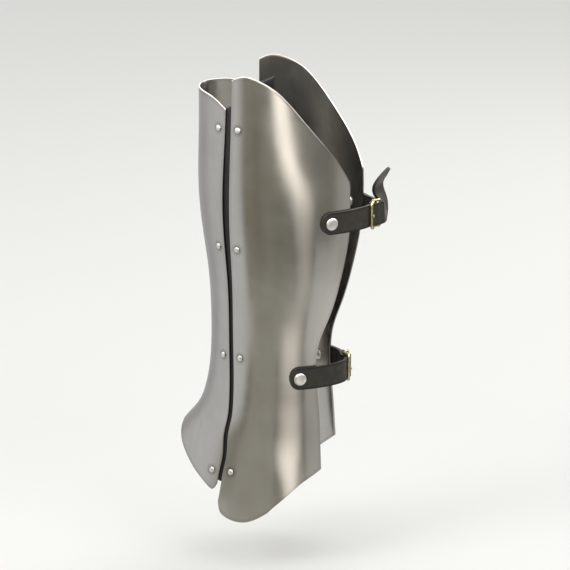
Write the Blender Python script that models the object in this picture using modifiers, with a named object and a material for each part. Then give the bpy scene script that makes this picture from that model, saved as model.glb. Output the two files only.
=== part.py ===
"""A steel greave for the left shin.

Three plates lie round the leg: one on the shin and one on each side of the calf. Two leather strips join
them behind the gaps, and two straps with centre-bar buckles close the greave behind the leg.
The leg's axis is Z, the shin faces -Y and the outer side of the leg is +X. All lengths are in metres.
"""

import math
from collections import namedtuple

import bmesh
import bpy
import numpy as np
from mathutils import Vector

# Overall form. Depths and widths run from the leg's axis to the inner face of the steel.
GREAVE_HEIGHT = 0.409  # lowest edge of the outer plate to the top of the side plates
SEAT_HEIGHT = 0.150  # lowest edge up to the narrow level above the ankle, where Z is 0
CALF_HALF_WIDTH = 0.0645
CALF_FRONT_DEPTH = 0.0725
CALF_REAR_DEPTH = 0.079

# Steel plates and the leather strips behind their gaps
SHEET = 0.0012
WIDEST_GAP = 0.0075
HINGE_LEATHER = 0.0025
HINGE_HALF_WIDTH = 0.0165
LAYER_GAP = 0.00045  # clearance between steel and the leather behind it

# Hinge rivets
HINGE_RIVET_INSET = 0.0075  # plate edge to rivet
HINGE_RIVET_HEAD = 0.0026  # radius
HINGE_RIVET_DOME = 0.0013
HINGE_RIVET_SHANK = 0.0013  # radius
HINGE_RIVET_TAIL = 0.0034  # radius
TAIL_THICKNESS = 0.0009
RIVET_FIT = 0.00025  # clearance of a rivet's head, tail and shank
TIGHTEST_BEND = 0.040  # radius of the plates where they bend most

# Straps and the folded leather that holds each buckle
STRAP_WIDTH = 0.020
STRAP_THICKNESS = 0.0024
STRAP_FIT = 0.0006  # clearance over the domed steel
CHAPE_THICKNESS = 0.0016  # one layer of the fold
STRAP_END_RADIUS = 0.0088  # strap rivet to the strap's round end
ROUND_END_STEPS = (1.0, 0.93, 0.75, 0.45)  # where the round end has its corners, as shares of its radius
STRAP_RIVET_HEAD = 0.0057
STRAP_RIVET_DOME = 0.0022
STRAP_RIVET_SHANK = 0.0018
STRAP_RIVET_TAIL = 0.0044
TIP_TAPER = 0.022
TIP_HALF_WIDTH = 0.0016
PUNCHED_HOLE = 0.0018  # radius
PUNCHED_PITCH = 0.019

# Centre-bar buckles
BUCKLE_HALF_LENGTH = 0.0095  # centre bar to outer bar
OUTER_BAR = 0.0013  # radius
CENTRE_BAR = 0.0012  # radius
CENTRE_BAR_DROP = 0.0032
BUCKLE_SIDE_ROOM = 0.0004  # between the strap's edge and the rail
BUCKLE_CORNER = 0.0030
FIT = 0.0003
TONGUE_THICKNESS = 0.0015
TONGUE_WIDTH = 0.0022
TONGUE_OVERHANG = 0.0022
TONGUE_ROOM = 0.0004
TONGUE_STATION = 17  # of the strap's stations, the one nearest the tongue

# Faceting
ROW_BIAS = 1.2  # above 1, the rows of a plate crowd towards its flared foot
COLUMN_BIAS = 1.35  # above 1, the columns of a plate crowd towards its gaps
PLATE_ROWS = 22
SHIN_COLUMNS = 14
SIDE_COLUMNS = 13
HINGE_COLUMNS = 4

Section = namedtuple("Section", "height half_width front rear")
SECTIONS = (  # heights as shares of GREAVE_HEIGHT, the rest as shares of the calf sizes
    Section(0.000, 0.899, 1.614, 0.785),
    Section(0.073, 0.860, 1.524, 0.759),
    Section(0.147, 0.814, 1.361, 0.728),
    Section(0.191, 0.783, 1.234, 0.709),
    Section(0.227, 0.760, 1.062, 0.696),
    Section(0.269, 0.744, 0.951, 0.684),
    Section(0.318, 0.736, 0.891, 0.684),
    Section(0.379, 0.752, 0.861, 0.709),
    Section(0.465, 0.814, 0.858, 0.785),
    Section(0.550, 0.891, 0.886, 0.880),
    Section(0.636, 0.961, 0.952, 0.962),
    Section(0.733, 1.000, 1.004, 1.000),
    Section(0.856, 0.984, 1.000, 0.975),
    Section(1.000, 0.938, 1.000, 0.886),
)

Seam = namedtuple("Seam", "height angle gap")
SEAMS = (  # middle of the gap in degrees from the shin, and its width as a share of WIDEST_GAP
    Seam(0.000, 63.0, 0.50),
    Seam(0.037, 64.5, 0.50),
    Seam(0.073, 65.1, 0.50),
    Seam(0.110, 65.2, 0.50),
    Seam(0.147, 65.3, 0.52),
    Seam(0.205, 62.1, 0.54),
    Seam(0.257, 58.8, 0.56),
    Seam(0.318, 56.0, 0.60),
    Seam(0.379, 54.4, 0.62),
    Seam(0.489, 55.2, 0.66),
    Seam(0.611, 57.3, 0.88),
    Seam(0.733, 59.3, 1.00),
    Seam(0.883, 61.0, 0.85),
    Seam(1.000, 62.0, 0.75),
)

RearEdge = namedtuple("RearEdge", "height angle")
REAR_EDGE = (
    RearEdge(0.000, 139.0),
    RearEdge(0.147, 139.3),
    RearEdge(0.257, 139.3),
    RearEdge(0.342, 135.8),
    RearEdge(0.403, 136.6),
    RearEdge(0.465, 145.0),
    RearEdge(0.555, 150.6),
    RearEdge(0.641, 152.0),
    RearEdge(0.733, 150.8),
    RearEdge(1.000, 150.0),
)

# Plate outlines: how far across the plate, against height as a share of GREAVE_HEIGHT
EdgePoint = namedtuple("EdgePoint", "across height")
SHIN_TOP = (EdgePoint(0.0, 0.958), EdgePoint(0.5, 0.954), EdgePoint(0.85, 0.941), EdgePoint(1.0, 0.925))
SHIN_FOOT = (
    EdgePoint(0.000, 0.196),
    EdgePoint(0.155, 0.190),
    EdgePoint(0.310, 0.174),
    EdgePoint(0.460, 0.152),
    EdgePoint(0.625, 0.126),
    EdgePoint(0.750, 0.104),
    EdgePoint(0.860, 0.084),
    EdgePoint(0.940, 0.069),
    EdgePoint(0.980, 0.070),
    EdgePoint(1.000, 0.081),
)
SIDE_TOP = (
    EdgePoint(0.00, 0.990),
    EdgePoint(0.10, 1.000),
    EdgePoint(0.25, 0.992),
    EdgePoint(0.40, 0.969),
    EdgePoint(0.52, 0.936),
    EdgePoint(0.66, 0.889),
    EdgePoint(0.80, 0.843),
    EdgePoint(0.90, 0.808),
    EdgePoint(1.00, 0.765),
)
OUTER_FOOT = (
    EdgePoint(0.000, 0.042),
    EdgePoint(0.020, 0.025),
    EdgePoint(0.050, 0.013),
    EdgePoint(0.114, 0.003),
    EdgePoint(0.200, 0.000),
    EdgePoint(0.280, 0.011),
    EdgePoint(0.336, 0.025),
    EdgePoint(0.450, 0.047),
    EdgePoint(0.545, 0.063),
    EdgePoint(0.710, 0.089),
    EdgePoint(0.850, 0.104),
    EdgePoint(1.000, 0.118),
)
INNER_FOOT = (
    EdgePoint(0.000, 0.073),
    EdgePoint(0.020, 0.056),
    EdgePoint(0.050, 0.044),
    EdgePoint(0.114, 0.035),
    EdgePoint(0.190, 0.033),
    EdgePoint(0.270, 0.039),
    EdgePoint(0.336, 0.050),
    EdgePoint(0.450, 0.069),
    EdgePoint(0.545, 0.086),
    EdgePoint(0.710, 0.112),
    EdgePoint(0.850, 0.130),
    EdgePoint(1.000, 0.147),
)
HINGE_TOP = (EdgePoint(0.0, 0.915), EdgePoint(1.0, 0.950))
HINGE_FOOT = (EdgePoint(0.0, 0.097), EdgePoint(1.0, 0.076))
HINGE_RIVET_HEIGHTS = (0.883, 0.619, 0.367, 0.110)

# Where each strap runs. The buckle's place is measured from the back of the calf on the leg's mid-plane,
# and rivet_inset from the rear edge of a side plate to its strap rivet. A tucked free end lies under the
# buckle's far bar, and a loose one over it.
StrapRun = namedtuple("StrapRun", "name height buckle_x standoff tilt rivet_inset spare_holes tucked")
UPPER = StrapRun("upper", 0.682, 0.0020, 0.0094, 13.0, 0.0209, 0, False)
LOWER = StrapRun("lower", 0.328, -0.0100, 0.0063, -14.0, 0.0160, 2, True)

# The free ends past the buckle. Upper: length along the strap, out and up, as shares of STRAP_WIDTH.
FreePoint = namedtuple("FreePoint", "along out up")
UPPER_FREE_END = (
    FreePoint(0.18, -0.03, 0.00),
    FreePoint(0.35, -0.12, 0.06),
    FreePoint(0.50, -0.20, 0.20),
    FreePoint(0.58, -0.31, 0.47),
    FreePoint(0.56, -0.46, 0.78),
    FreePoint(0.52, -0.49, 1.08),
    FreePoint(0.50, -0.29, 1.47),
    FreePoint(0.55, 0.04, 1.92),
)
# Lower: degrees past the inner plate's rear edge, and the drop and the extra lift off the steel as shares of
# STRAP_WIDTH
HangPoint = namedtuple("HangPoint", "past_edge drop lift")
LOWER_FREE_END = (
    HangPoint(0.0, 0.28, 0.03),
    HangPoint(12.0, 0.60, 0.03),
    HangPoint(25.0, 0.97, 0.03),
    HangPoint(38.0, 1.34, 0.02),
    HangPoint(50.0, 1.68, 0.00),
    HangPoint(62.0, 2.00, 0.04),
)

STEEL = ("satin_steel", (0.60, 0.59, 0.57), 0.32, 1.0)
RIVET_STEEL = ("bright_steel", (0.78, 0.78, 0.76), 0.22, 1.0)
BRASS = ("pale_brass", (0.72, 0.66, 0.47), 0.28, 1.0)
STRAP_LEATHER = ("strap_leather", (0.045, 0.036, 0.028), 0.55, 0.0)
BLACK_LEATHER = ("black_leather", (0.012, 0.012, 0.012), 0.6, 0.0)


class Curve:
    """A natural cubic spline, so that a form has no kink where a table has a row."""

    def __init__(self, places, values):
        self.places = np.array(places, float)
        self.values = np.array(values, float)
        steps = np.diff(self.places)
        slopes = np.diff(self.values) / steps
        count = len(places)
        matrix = np.eye(count)
        right = np.zeros(count)
        for i in range(1, count - 1):
            matrix[i, i - 1 : i + 2] = steps[i - 1], 2 * (steps[i - 1] + steps[i]), steps[i]
            right[i] = 6 * (slopes[i] - slopes[i - 1])
        self.bends = np.linalg.solve(matrix, right)

    def at(self, place):
        place = min(max(place, self.places[0]), self.places[-1])
        i = int(np.clip(np.searchsorted(self.places, place) - 1, 0, len(self.places) - 2))
        step = self.places[i + 1] - self.places[i]
        before = (self.places[i + 1] - place) / step
        after = 1 - before
        bend = (before**3 - before) * self.bends[i] + (after**3 - after) * self.bends[i + 1]
        return float(before * self.values[i] + after * self.values[i + 1] + bend * step**2 / 6)


def column(rows, name):
    """A table's column as a curve over its first column."""
    return Curve([row[0] for row in rows], [getattr(row, name) for row in rows])


HALF_WIDTH = column(SECTIONS, "half_width")
FRONT = column(SECTIONS, "front")
REAR = column(SECTIONS, "rear")
SEAM_ANGLE = column(SEAMS, "angle")
SEAM_GAP = column(SEAMS, "gap")
REAR_ANGLE = column(REAR_EDGE, "angle")


def half_width(height):
    return CALF_HALF_WIDTH * HALF_WIDTH.at(height / GREAVE_HEIGHT)


def depth(height, angle):
    """Depth from the leg's axis, to the shin or to the back of the leg."""
    if math.cos(angle) > 0:
        return CALF_FRONT_DEPTH * FRONT.at(height / GREAVE_HEIGHT)
    return CALF_REAR_DEPTH * REAR.at(height / GREAVE_HEIGHT)


def form(angle, height):
    """A point on the inner face of the steel: angle from the shin towards the outer side, height from the foot."""
    x = half_width(height) * math.sin(angle)
    y = -depth(height, angle) * math.cos(angle)
    return Vector((x, y, height - SEAT_HEIGHT))


def rise(angle, height):
    """The direction up the form."""
    step = GREAVE_HEIGHT / 1000
    return (form(angle, height + step) - form(angle, height - step)).normalized()


def outward(angle, height):
    step = math.radians(0.1)
    round_the_leg = form(angle + step, height) - form(angle - step, height)
    return round_the_leg.cross(rise(angle, height)).normalized()


def lifted(angle, height, lift):
    return form(angle, height) + lift * outward(angle, height)


def turned(angle, height, arc):
    """The angle that lies this arc length round the form from another angle."""
    speed = math.hypot(half_width(height) * math.cos(angle), depth(height, angle) * math.sin(angle))
    return angle + arc / speed


def seam(height):
    return math.radians(SEAM_ANGLE.at(height / GREAVE_HEIGHT))


def half_gap(height):
    return WIDEST_GAP * SEAM_GAP.at(height / GREAVE_HEIGHT) / 2


def shin_edge(height):
    return turned(seam(height), height, -half_gap(height))


def side_front_edge(height):
    return turned(seam(height), height, half_gap(height))


def side_rear_edge(height):
    return math.radians(REAR_ANGLE.at(height / GREAVE_HEIGHT))


def strap_rivet_angle(run):
    height = run.height * GREAVE_HEIGHT
    return turned(side_rear_edge(height), height, -run.rivet_inset)


def mirrored(point):
    return Vector((-point.x, point.y, point.z))


def material(named):
    name, colour, roughness, metallic = named
    made = bpy.data.materials.get(name) or bpy.data.materials.new(name)
    made.use_nodes = True
    shader = made.node_tree.nodes["Principled BSDF"]
    shader.inputs["Base Color"].default_value = (*colour, 1.0)
    shader.inputs["Roughness"].default_value = roughness
    shader.inputs["Metallic"].default_value = metallic
    return made


def add_object(name, mesh, named, collection="Greave"):
    obj = bpy.data.objects.new(name, mesh)
    bpy.data.collections[collection].objects.link(obj)
    if named:
        mesh.materials.append(material(named))
    return obj


def mesh_of(name, bm):
    mesh = bpy.data.meshes.new(name)
    bm.to_mesh(mesh)
    bm.free()
    return mesh


def sheet(name, columns, rows, place, thickness, offset, named):
    """A grid laid on the surface that place(across, along) gives, with a wall thickness."""
    bm = bmesh.new()
    bmesh.ops.create_grid(bm, x_segments=columns, y_segments=rows, size=0.5)
    for vert in bm.verts:
        vert.co = place(vert.co.x + 0.5, vert.co.y + 0.5)
    obj = add_object(name, mesh_of(name, bm), named)
    wall = obj.modifiers.new("Wall", "SOLIDIFY")
    wall.thickness = thickness
    wall.offset = offset
    wall.use_even_offset = True
    return obj


def applied(obj):
    """Turns an object's modifiers into its mesh, so that it can be cut in a known order."""
    graph = bpy.context.evaluated_depsgraph_get()
    mesh = bpy.data.meshes.new_from_object(obj.evaluated_get(graph))
    obj.modifiers.clear()
    obj.data = mesh
    return obj


def boolean(obj, other, operation):
    change = obj.modifiers.new(f"{operation.title()} {other.name}", "BOOLEAN")
    change.operation = operation
    change.object = other
    change.solver = "EXACT"


def as_cutter(obj):
    obj.hide_render = True
    obj.display_type = "WIRE"
    return obj


def bar(name, start, end, radius, sides=12, named=None, collection="Cutters"):
    """A cylinder between two points."""
    bm = bmesh.new()
    bmesh.ops.create_cone(
        bm, cap_ends=True, segments=sides, radius1=radius, radius2=radius, depth=(end - start).length
    )
    turn = (end - start).to_track_quat("Z", "Y").to_matrix().to_4x4()
    bmesh.ops.transform(bm, matrix=turn, verts=bm.verts)
    bmesh.ops.translate(bm, vec=(start + end) / 2, verts=bm.verts)
    return add_object(name, mesh_of(name, bm), named, collection)


def drill(targets, name, point, direction, radius, reach=0.02, sides=12):
    """Cuts a round hole through each target, along direction at point."""
    cutter = as_cutter(bar(name, point - reach * direction, point + reach * direction, radius, sides))
    for target in targets:
        boolean(target, cutter, "DIFFERENCE")


def rivet_mesh(name, grip, head, dome, shank, tail):
    """A turned rivet: domed head over the work, shank, and a flat tail behind it. Its origin is under its head."""
    hollow = tail**2 / (2 * TIGHTEST_BEND)  # what the flat tail needs to clear the hollow face of a plate
    below = -grip - 2 * RIVET_FIT - hollow
    arc = [math.radians(a) for a in (0, 45)]
    profile = [(0, dome)]
    profile += [(head * math.cos(a), dome * math.sin(a)) for a in reversed(arc)]
    profile += [(shank, 0), (shank, below), (tail, below), (tail, below - TAIL_THICKNESS)]
    profile += [(0, below - TAIL_THICKNESS)]
    bm = bmesh.new()
    verts = [bm.verts.new((x, 0, z)) for x, z in profile]
    for first, second in zip(verts, verts[1:]):
        bm.edges.new((first, second))
    return mesh_of(name, bm)


def rivet(name, mesh, seat, direction, sides=8):
    obj = add_object(name, mesh, None)
    obj.location = seat + RIVET_FIT * direction
    obj.rotation_euler = direction.to_track_quat("Z", "Y").to_euler()
    turn = obj.modifiers.new("Turn", "SCREW")
    turn.steps = sides
    turn.render_steps = sides
    turn.use_merge_vertices = True
    turn.merge_threshold = 0.0001
    return obj


def steel_rivet_mesh(*sizes):
    mesh = rivet_mesh(*sizes)
    mesh.materials.append(material(RIVET_STEEL))
    return mesh


def shin_place(across, along):
    """The shin plate is symmetrical, so across runs from -1 to 1 here."""
    side = 2 * across - 1
    side = math.copysign(1 - (1 - abs(side)) ** COLUMN_BIAS, side)
    foot = GREAVE_HEIGHT * SHIN_FOOT_CURVE.at(abs(side))
    top = GREAVE_HEIGHT * SHIN_TOP_CURVE.at(abs(side))
    height = foot + along**ROW_BIAS * (top - foot)
    return form(side * shin_edge(height), height)


def side_place(foot_curve, mirror):
    def place(across, along):
        share = (1 - across if mirror else across) ** COLUMN_BIAS
        foot = GREAVE_HEIGHT * foot_curve.at(share)
        top = GREAVE_HEIGHT * SIDE_TOP_CURVE.at(share)
        height = foot + along**ROW_BIAS * (top - foot)
        front = side_front_edge(height)
        point = form(front + share * (side_rear_edge(height) - front), height)
        return mirrored(point) if mirror else point

    return place


def hinge_place(mirror):
    def place(across, along):
        share = 1 - across if mirror else across
        foot = GREAVE_HEIGHT * HINGE_FOOT_CURVE.at(share)
        top = GREAVE_HEIGHT * HINGE_TOP_CURVE.at(share)
        height = foot + along**ROW_BIAS * (top - foot)
        angle = turned(seam(height), height, (2 * share - 1) * HINGE_HALF_WIDTH)
        point = lifted(angle, height, -LAYER_GAP)
        return mirrored(point) if mirror else point

    return place


SHIN_FOOT_CURVE = column(SHIN_FOOT, "height")
SHIN_TOP_CURVE = column(SHIN_TOP, "height")
SIDE_TOP_CURVE = column(SIDE_TOP, "height")
OUTER_FOOT_CURVE = column(OUTER_FOOT, "height")
INNER_FOOT_CURVE = column(INNER_FOOT, "height")
HINGE_TOP_CURVE = column(HINGE_TOP, "height")
HINGE_FOOT_CURVE = column(HINGE_FOOT, "height")


def plates():
    shin = sheet("shin_plate", SHIN_COLUMNS, PLATE_ROWS, shin_place, SHEET, 1.0, STEEL)
    outer = sheet(
        "outer_plate", SIDE_COLUMNS, PLATE_ROWS, side_place(OUTER_FOOT_CURVE, False), SHEET, 1.0, STEEL
    )
    inner = sheet(
        "inner_plate", SIDE_COLUMNS, PLATE_ROWS, side_place(INNER_FOOT_CURVE, True), SHEET, 1.0, STEEL
    )
    return shin, outer, inner


def hinge(side, mirror, shin, plate):
    """A leather strip behind one gap, with four rivets in each of its two plates."""
    strip = sheet(
        f"{side}_hinge_leather",
        HINGE_COLUMNS,
        PLATE_ROWS,
        hinge_place(mirror),
        HINGE_LEATHER,
        -1.0,
        BLACK_LEATHER,
    )
    grip = SHEET + LAYER_GAP + HINGE_LEATHER
    mesh = steel_rivet_mesh(
        f"{side}_hinge_rivet", grip, HINGE_RIVET_HEAD, HINGE_RIVET_DOME, HINGE_RIVET_SHANK, HINGE_RIVET_TAIL
    )
    for number, share in enumerate(HINGE_RIVET_HEIGHTS, 1):
        height = share * GREAVE_HEIGHT
        for row, target, edge, way in (
            ("front", shin, shin_edge, -1),
            ("side", plate, side_front_edge, 1),
        ):
            angle = turned(edge(height), height, way * HINGE_RIVET_INSET)
            seat = lifted(angle, height, SHEET)
            direction = outward(angle, height)
            if mirror:
                seat, direction = mirrored(seat), mirrored(direction)
            name = f"{side}_rivet_{row}_{number}"
            rivet(name, mesh, seat, direction)
            drill((target, strip), f"{name}_hole", seat, direction, HINGE_RIVET_SHANK + RIVET_FIT, sides=8)


Station = namedtuple("Station", "centre side")


class BuckleFrame:
    """The buckle's own directions: along the strap from the outer side to the tip, out from the leg, and up."""

    def __init__(self, run):
        self.height = run.height * GREAVE_HEIGHT
        rear = depth(self.height, math.pi)
        self.centre = Vector((run.buckle_x, rear + run.standoff, self.height - SEAT_HEIGHT))
        tilt = math.radians(run.tilt)
        self.along = Vector((-math.cos(tilt), math.sin(tilt), 0))
        self.out = Vector((math.sin(tilt), math.cos(tilt), 0))
        self.up = Vector((0, 0, 1))

    def point(self, along, out, up=0.0):
        return self.centre + along * self.along + out * self.out + up * self.up


def arc_points(centre, radius, start, end, count):
    """Points on an arc in the buckle's plane, start and end in degrees from the strap's direction."""
    angles = [math.radians(start + (end - start) * i / (count - 1)) for i in range(count)]
    return [(centre[0] + radius * math.cos(a), centre[1] + radius * math.sin(a)) for a in angles]


def weave(tucked):
    """The strap's middle line: under the near bar, over the centre bar, and under or over the far bar."""
    hump = CENTRE_BAR + FIT + CHAPE_THICKNESS + FIT + STRAP_THICKNESS / 2
    dip = OUTER_BAR + FIT + STRAP_THICKNESS / 2
    apart = math.hypot(BUCKLE_HALF_LENGTH, CENTRE_BAR_DROP)
    slope = math.degrees(math.asin(min((hump + dip) / apart, 1)) - math.asin(CENTRE_BAR_DROP / apart))
    enter = arc_points((-BUCKLE_HALF_LENGTH, 0), dip, -90, -90 + slope, 4)
    if tucked:
        over = arc_points((0, -CENTRE_BAR_DROP), hump, 90 + slope, 90 - slope, 7)
        leave = arc_points((BUCKLE_HALF_LENGTH, 0), dip, -90 - slope, -90, 4)
    else:
        climb = math.degrees(math.asin(CENTRE_BAR_DROP / apart) - math.asin((hump - dip) / apart))
        over = arc_points((0, -CENTRE_BAR_DROP), hump, 90 + slope, 90 + climb, 7)
        leave = arc_points((BUCKLE_HALF_LENGTH, 0), dip, 90 + climb, 90, 4)
    return enter + over + leave


def hermite(start, start_way, end, end_way, count):
    """Points inside a smooth curve from start to end, without its two ends."""
    reach = (end - start).length
    points = []
    for i in range(1, count + 1):
        t = i / (count + 1)
        points.append(
            (2 * t**3 - 3 * t**2 + 1) * start
            + (t**3 - 2 * t**2 + t) * reach * start_way
            + (3 * t**2 - 2 * t**3) * end
            + (t**3 - t**2) * reach * end_way
        )
    return points


def smoothed(points, count):
    """A smooth curve through a few chosen points, in count steps of equal length."""
    lengths = [0.0]
    for first, second in zip(points, points[1:]):
        lengths.append(lengths[-1] + (second - first).length)
    axes = [Curve(lengths, [point[i] for point in points]) for i in range(3)]
    return [Vector([axis.at(lengths[-1] * i / count) for axis in axes]) for i in range(count + 1)]


def stations_of(points, outs):
    """Stations whose side lies square to the path and to the given outward directions."""
    made = []
    for i, point in enumerate(points):
        way = points[min(i + 1, len(points) - 1)] - points[max(i - 1, 0)]
        made.append(Station(point, outs[i].cross(way).normalized()))
    return made


def ribbon(name, stations, half_width_at, thickness, across, named, collection="Greave"):
    """A strap of leather along its stations. half_width_at(length, whole length) gives its outline."""
    lengths = [0.0]
    for first, second in zip(stations, stations[1:]):
        lengths.append(lengths[-1] + (second.centre - first.centre).length)
    bm = bmesh.new()
    bmesh.ops.create_grid(bm, x_segments=len(stations) - 1, y_segments=across, size=0.5)
    for vert in bm.verts:
        i = round((vert.co.x + 0.5) * (len(stations) - 1))
        half = half_width_at(lengths[i], lengths[-1])
        vert.co = stations[i].centre + 2 * vert.co.y * half * stations[i].side
    obj = add_object(name, mesh_of(name, bm), named, collection)
    wall = obj.modifiers.new("Wall", "SOLIDIFY")
    wall.thickness = thickness
    wall.offset = 0
    wall.use_even_offset = True
    return obj


def round_end(length):
    """Half width of a strap at a length from its round end."""
    half = STRAP_WIDTH / 2
    short = max(STRAP_END_RADIUS - length, 0) / STRAP_END_RADIUS
    return half * math.sqrt(max(1 - short**2, 0.04))


def strap_outline(length, whole):
    """Round at the rivet and pointed at the tip."""
    left = whole - length
    taper = min(left / TIP_TAPER, 1)
    return min(round_end(length), TIP_HALF_WIDTH + (STRAP_WIDTH / 2 - TIP_HALF_WIDTH) * math.sin(taper * math.pi / 2))


def on_plate(height, rivet_angle, way, lift):
    """Stations over a side plate, from a round end to the rear edge. way is -1 on the inner side."""
    edge = way * side_rear_edge(height)
    shares = [-share for share in ROUND_END_STEPS] + [0.0]
    angles = [turned(rivet_angle, height, way * share * STRAP_END_RADIUS) for share in shares]
    angles += [rivet_angle + (edge - rivet_angle) * i / 3 for i in (1, 2, 3)]
    return [Station(lifted(angle, height, lift), rise(angle, height)) for angle in angles]


def free_end_upper(frame):
    points = [frame.point(BUCKLE_HALF_LENGTH, OUTER_BAR + FIT + STRAP_THICKNESS / 2)]
    for row in UPPER_FREE_END:
        along = BUCKLE_HALF_LENGTH + row.along * STRAP_WIDTH
        out = points[0] - frame.point(BUCKLE_HALF_LENGTH, 0)
        points.append(frame.point(along, row.out * STRAP_WIDTH, row.up * STRAP_WIDTH) + out)
    path = smoothed(points, 10)
    return stations_of(path, [frame.out] * len(path))[1:]


def free_end_lower(frame):
    """Runs over the buckle's folded leather and sags across the inner plate."""
    height = frame.height
    edge = -side_rear_edge(height)
    stacked = SHEET + STRAP_FIT + 2 * CHAPE_THICKNESS + FIT + STRAP_THICKNESS / 2
    points = []
    outs = []
    for row in LOWER_FREE_END:
        angle = edge + math.radians(row.past_edge)
        low = height - row.drop * STRAP_WIDTH
        points.append(lifted(angle, low, stacked + row.lift * STRAP_WIDTH))
        outs.append(outward(angle, low))
    start = frame.point(BUCKLE_HALF_LENGTH, -(OUTER_BAR + FIT + STRAP_THICKNESS / 2))
    arrive_way = (points[1] - points[0]).normalized()
    bridge = hermite(start, frame.along, points[0], arrive_way, 2)
    points = [start] + bridge + points
    outs = [frame.out] + hermite(frame.out, Vector(), outs[0], Vector(), 2) + outs
    path = smoothed(points, 14)
    turns = smoothed(outs, 14)
    return stations_of(path, turns)[1:]


def strap(run, frame, free_end):
    """Riveted to the outer plate, it runs round the back of the leg and through the buckle."""
    height = frame.height
    lift = SHEET + STRAP_FIT + STRAP_THICKNESS / 2
    seated = on_plate(height, strap_rivet_angle(run), 1, lift)
    through = [frame.point(along, out) for along, out in weave(run.tucked)]
    leave_way = (seated[-1].centre - seated[-2].centre).normalized()
    bridge = hermite(seated[-1].centre, leave_way, through[0], frame.along, 5)
    stations = seated + [Station(point, frame.up) for point in bridge + through]
    stations += free_end(frame)
    obj = ribbon(f"{run.name}_strap", stations, strap_outline, STRAP_THICKNESS, 2, STRAP_LEATHER)
    return obj, stations


def chape(run, frame):
    """Folded leather round the centre bar, slotted for the tongue and riveted to the inner plate."""
    height = frame.height
    stack = 2 * CHAPE_THICKNESS
    lift = SHEET + STRAP_FIT + CHAPE_THICKNESS
    ring = CENTRE_BAR + FIT + CHAPE_THICKNESS
    seated = on_plate(height, -strap_rivet_angle(run), -1, lift)[::-1]
    under = -(OUTER_BAR + FIT + STRAP_THICKNESS + FIT + CHAPE_THICKNESS)
    root = frame.point(ring * 0.5, -CENTRE_BAR_DROP - ring * 0.45)
    below = frame.point(BUCKLE_HALF_LENGTH, under)
    arrive_way = (seated[1].centre - seated[0].centre).normalized()
    bridge = hermite(below, frame.along, seated[0].centre, arrive_way, 3)
    stations = [Station(point, frame.up) for point in (root, (root + below) / 2, below)]
    stations += [Station(point, frame.up) for point in bridge] + seated
    name = f"{run.name}_chape"
    obj = applied(
        ribbon(name, stations, lambda length, whole: round_end(whole - length), stack, 2, STRAP_LEATHER)
    )
    pivot = frame.point(0, -CENTRE_BAR_DROP)
    half = STRAP_WIDTH / 2 * frame.up
    fold = as_cutter(bar(f"{name}_fold", pivot - half, pivot + half, ring, 16))
    boolean(obj, fold, "UNION")
    drill((obj,), f"{name}_eye", pivot, frame.up, CENTRE_BAR + FIT)
    slot_end = ring + FIT
    slot = as_cutter(
        block(f"{name}_slot", frame, (-2 * ring, slot_end), (-CENTRE_BAR_DROP - 2 * ring, ring), tongue_slot())
    )
    boolean(obj, slot, "DIFFERENCE")
    return obj


def tongue_slot():
    """Half width of the slot that the tongue stands in."""
    return TONGUE_WIDTH / 2 + TONGUE_ROOM


def block(name, frame, along, out, half_height):
    """A box in the buckle's directions."""
    bm = bmesh.new()
    bmesh.ops.create_cube(bm, size=1.0)
    for vert in bm.verts:
        a = along[0] + (vert.co.x + 0.5) * (along[1] - along[0])
        o = out[0] + (vert.co.y + 0.5) * (out[1] - out[0])
        vert.co = frame.point(a, o, 2 * vert.co.z * half_height)
    bm.normal_update()
    bmesh.ops.recalc_face_normals(bm, faces=bm.faces)
    return add_object(name, mesh_of(name, bm), None, "Cutters")


def buckle(run, frame):
    """A cast frame: a round-cornered loop whose rails dip to a centre bar."""
    rail = STRAP_WIDTH / 2 + BUCKLE_SIDE_ROOM + OUTER_BAR
    corner = BUCKLE_CORNER
    loop = []
    for turn, (along, up) in enumerate(((1, 1), (-1, 1), (-1, -1), (1, -1))):
        centre = (along * (BUCKLE_HALF_LENGTH - corner), up * (rail - corner))
        for step in range(4):
            angle = math.radians(90 * turn + 30 * step)
            loop.append((centre[0] + corner * math.cos(angle), centre[1] + corner * math.sin(angle)))
        if turn in (0, 2):
            loop.append((0.0, up * rail))
    straight = BUCKLE_HALF_LENGTH - corner
    spline_points = []
    for along, up in loop:
        dip = max(1 - abs(along) / straight, 0)
        spline_points.append(frame.point(along, -CENTRE_BAR_DROP * dip, up))
    name = f"{run.name}_buckle"
    obj = tube(name, spline_points, OUTER_BAR, True, BRASS)
    pivot = frame.point(0, -CENTRE_BAR_DROP)
    centre_bar = as_cutter(
        bar(f"{name}_bar", pivot - rail * frame.up, pivot + rail * frame.up, CENTRE_BAR, 10)
    )
    boolean(obj, centre_bar, "UNION")
    return obj


def tube(name, points, radius, closed, named):
    """A round bar along a line of points, as a mesh."""
    curve = bpy.data.curves.new(name, "CURVE")
    curve.dimensions = "3D"
    curve.bevel_depth = radius
    curve.bevel_resolution = 2
    curve.use_fill_caps = True
    spline = curve.splines.new("POLY")
    spline.points.add(len(points) - 1)
    for place, point in zip(spline.points, points):
        place.co = (*point, 1)
    spline.use_cyclic_u = closed
    guide = bpy.data.objects.new(f"{name}_guide", curve)
    bpy.data.collections["Greave"].objects.link(guide)
    graph = bpy.context.evaluated_depsgraph_get()
    mesh = bpy.data.meshes.new_from_object(guide.evaluated_get(graph))
    bpy.data.objects.remove(guide)
    bm = bmesh.new()
    bm.from_mesh(mesh)
    bmesh.ops.remove_doubles(bm, verts=bm.verts, dist=0.00001)
    bm.to_mesh(mesh)
    bm.free()
    mesh.name = name
    return add_object(name, mesh, named)


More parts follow.
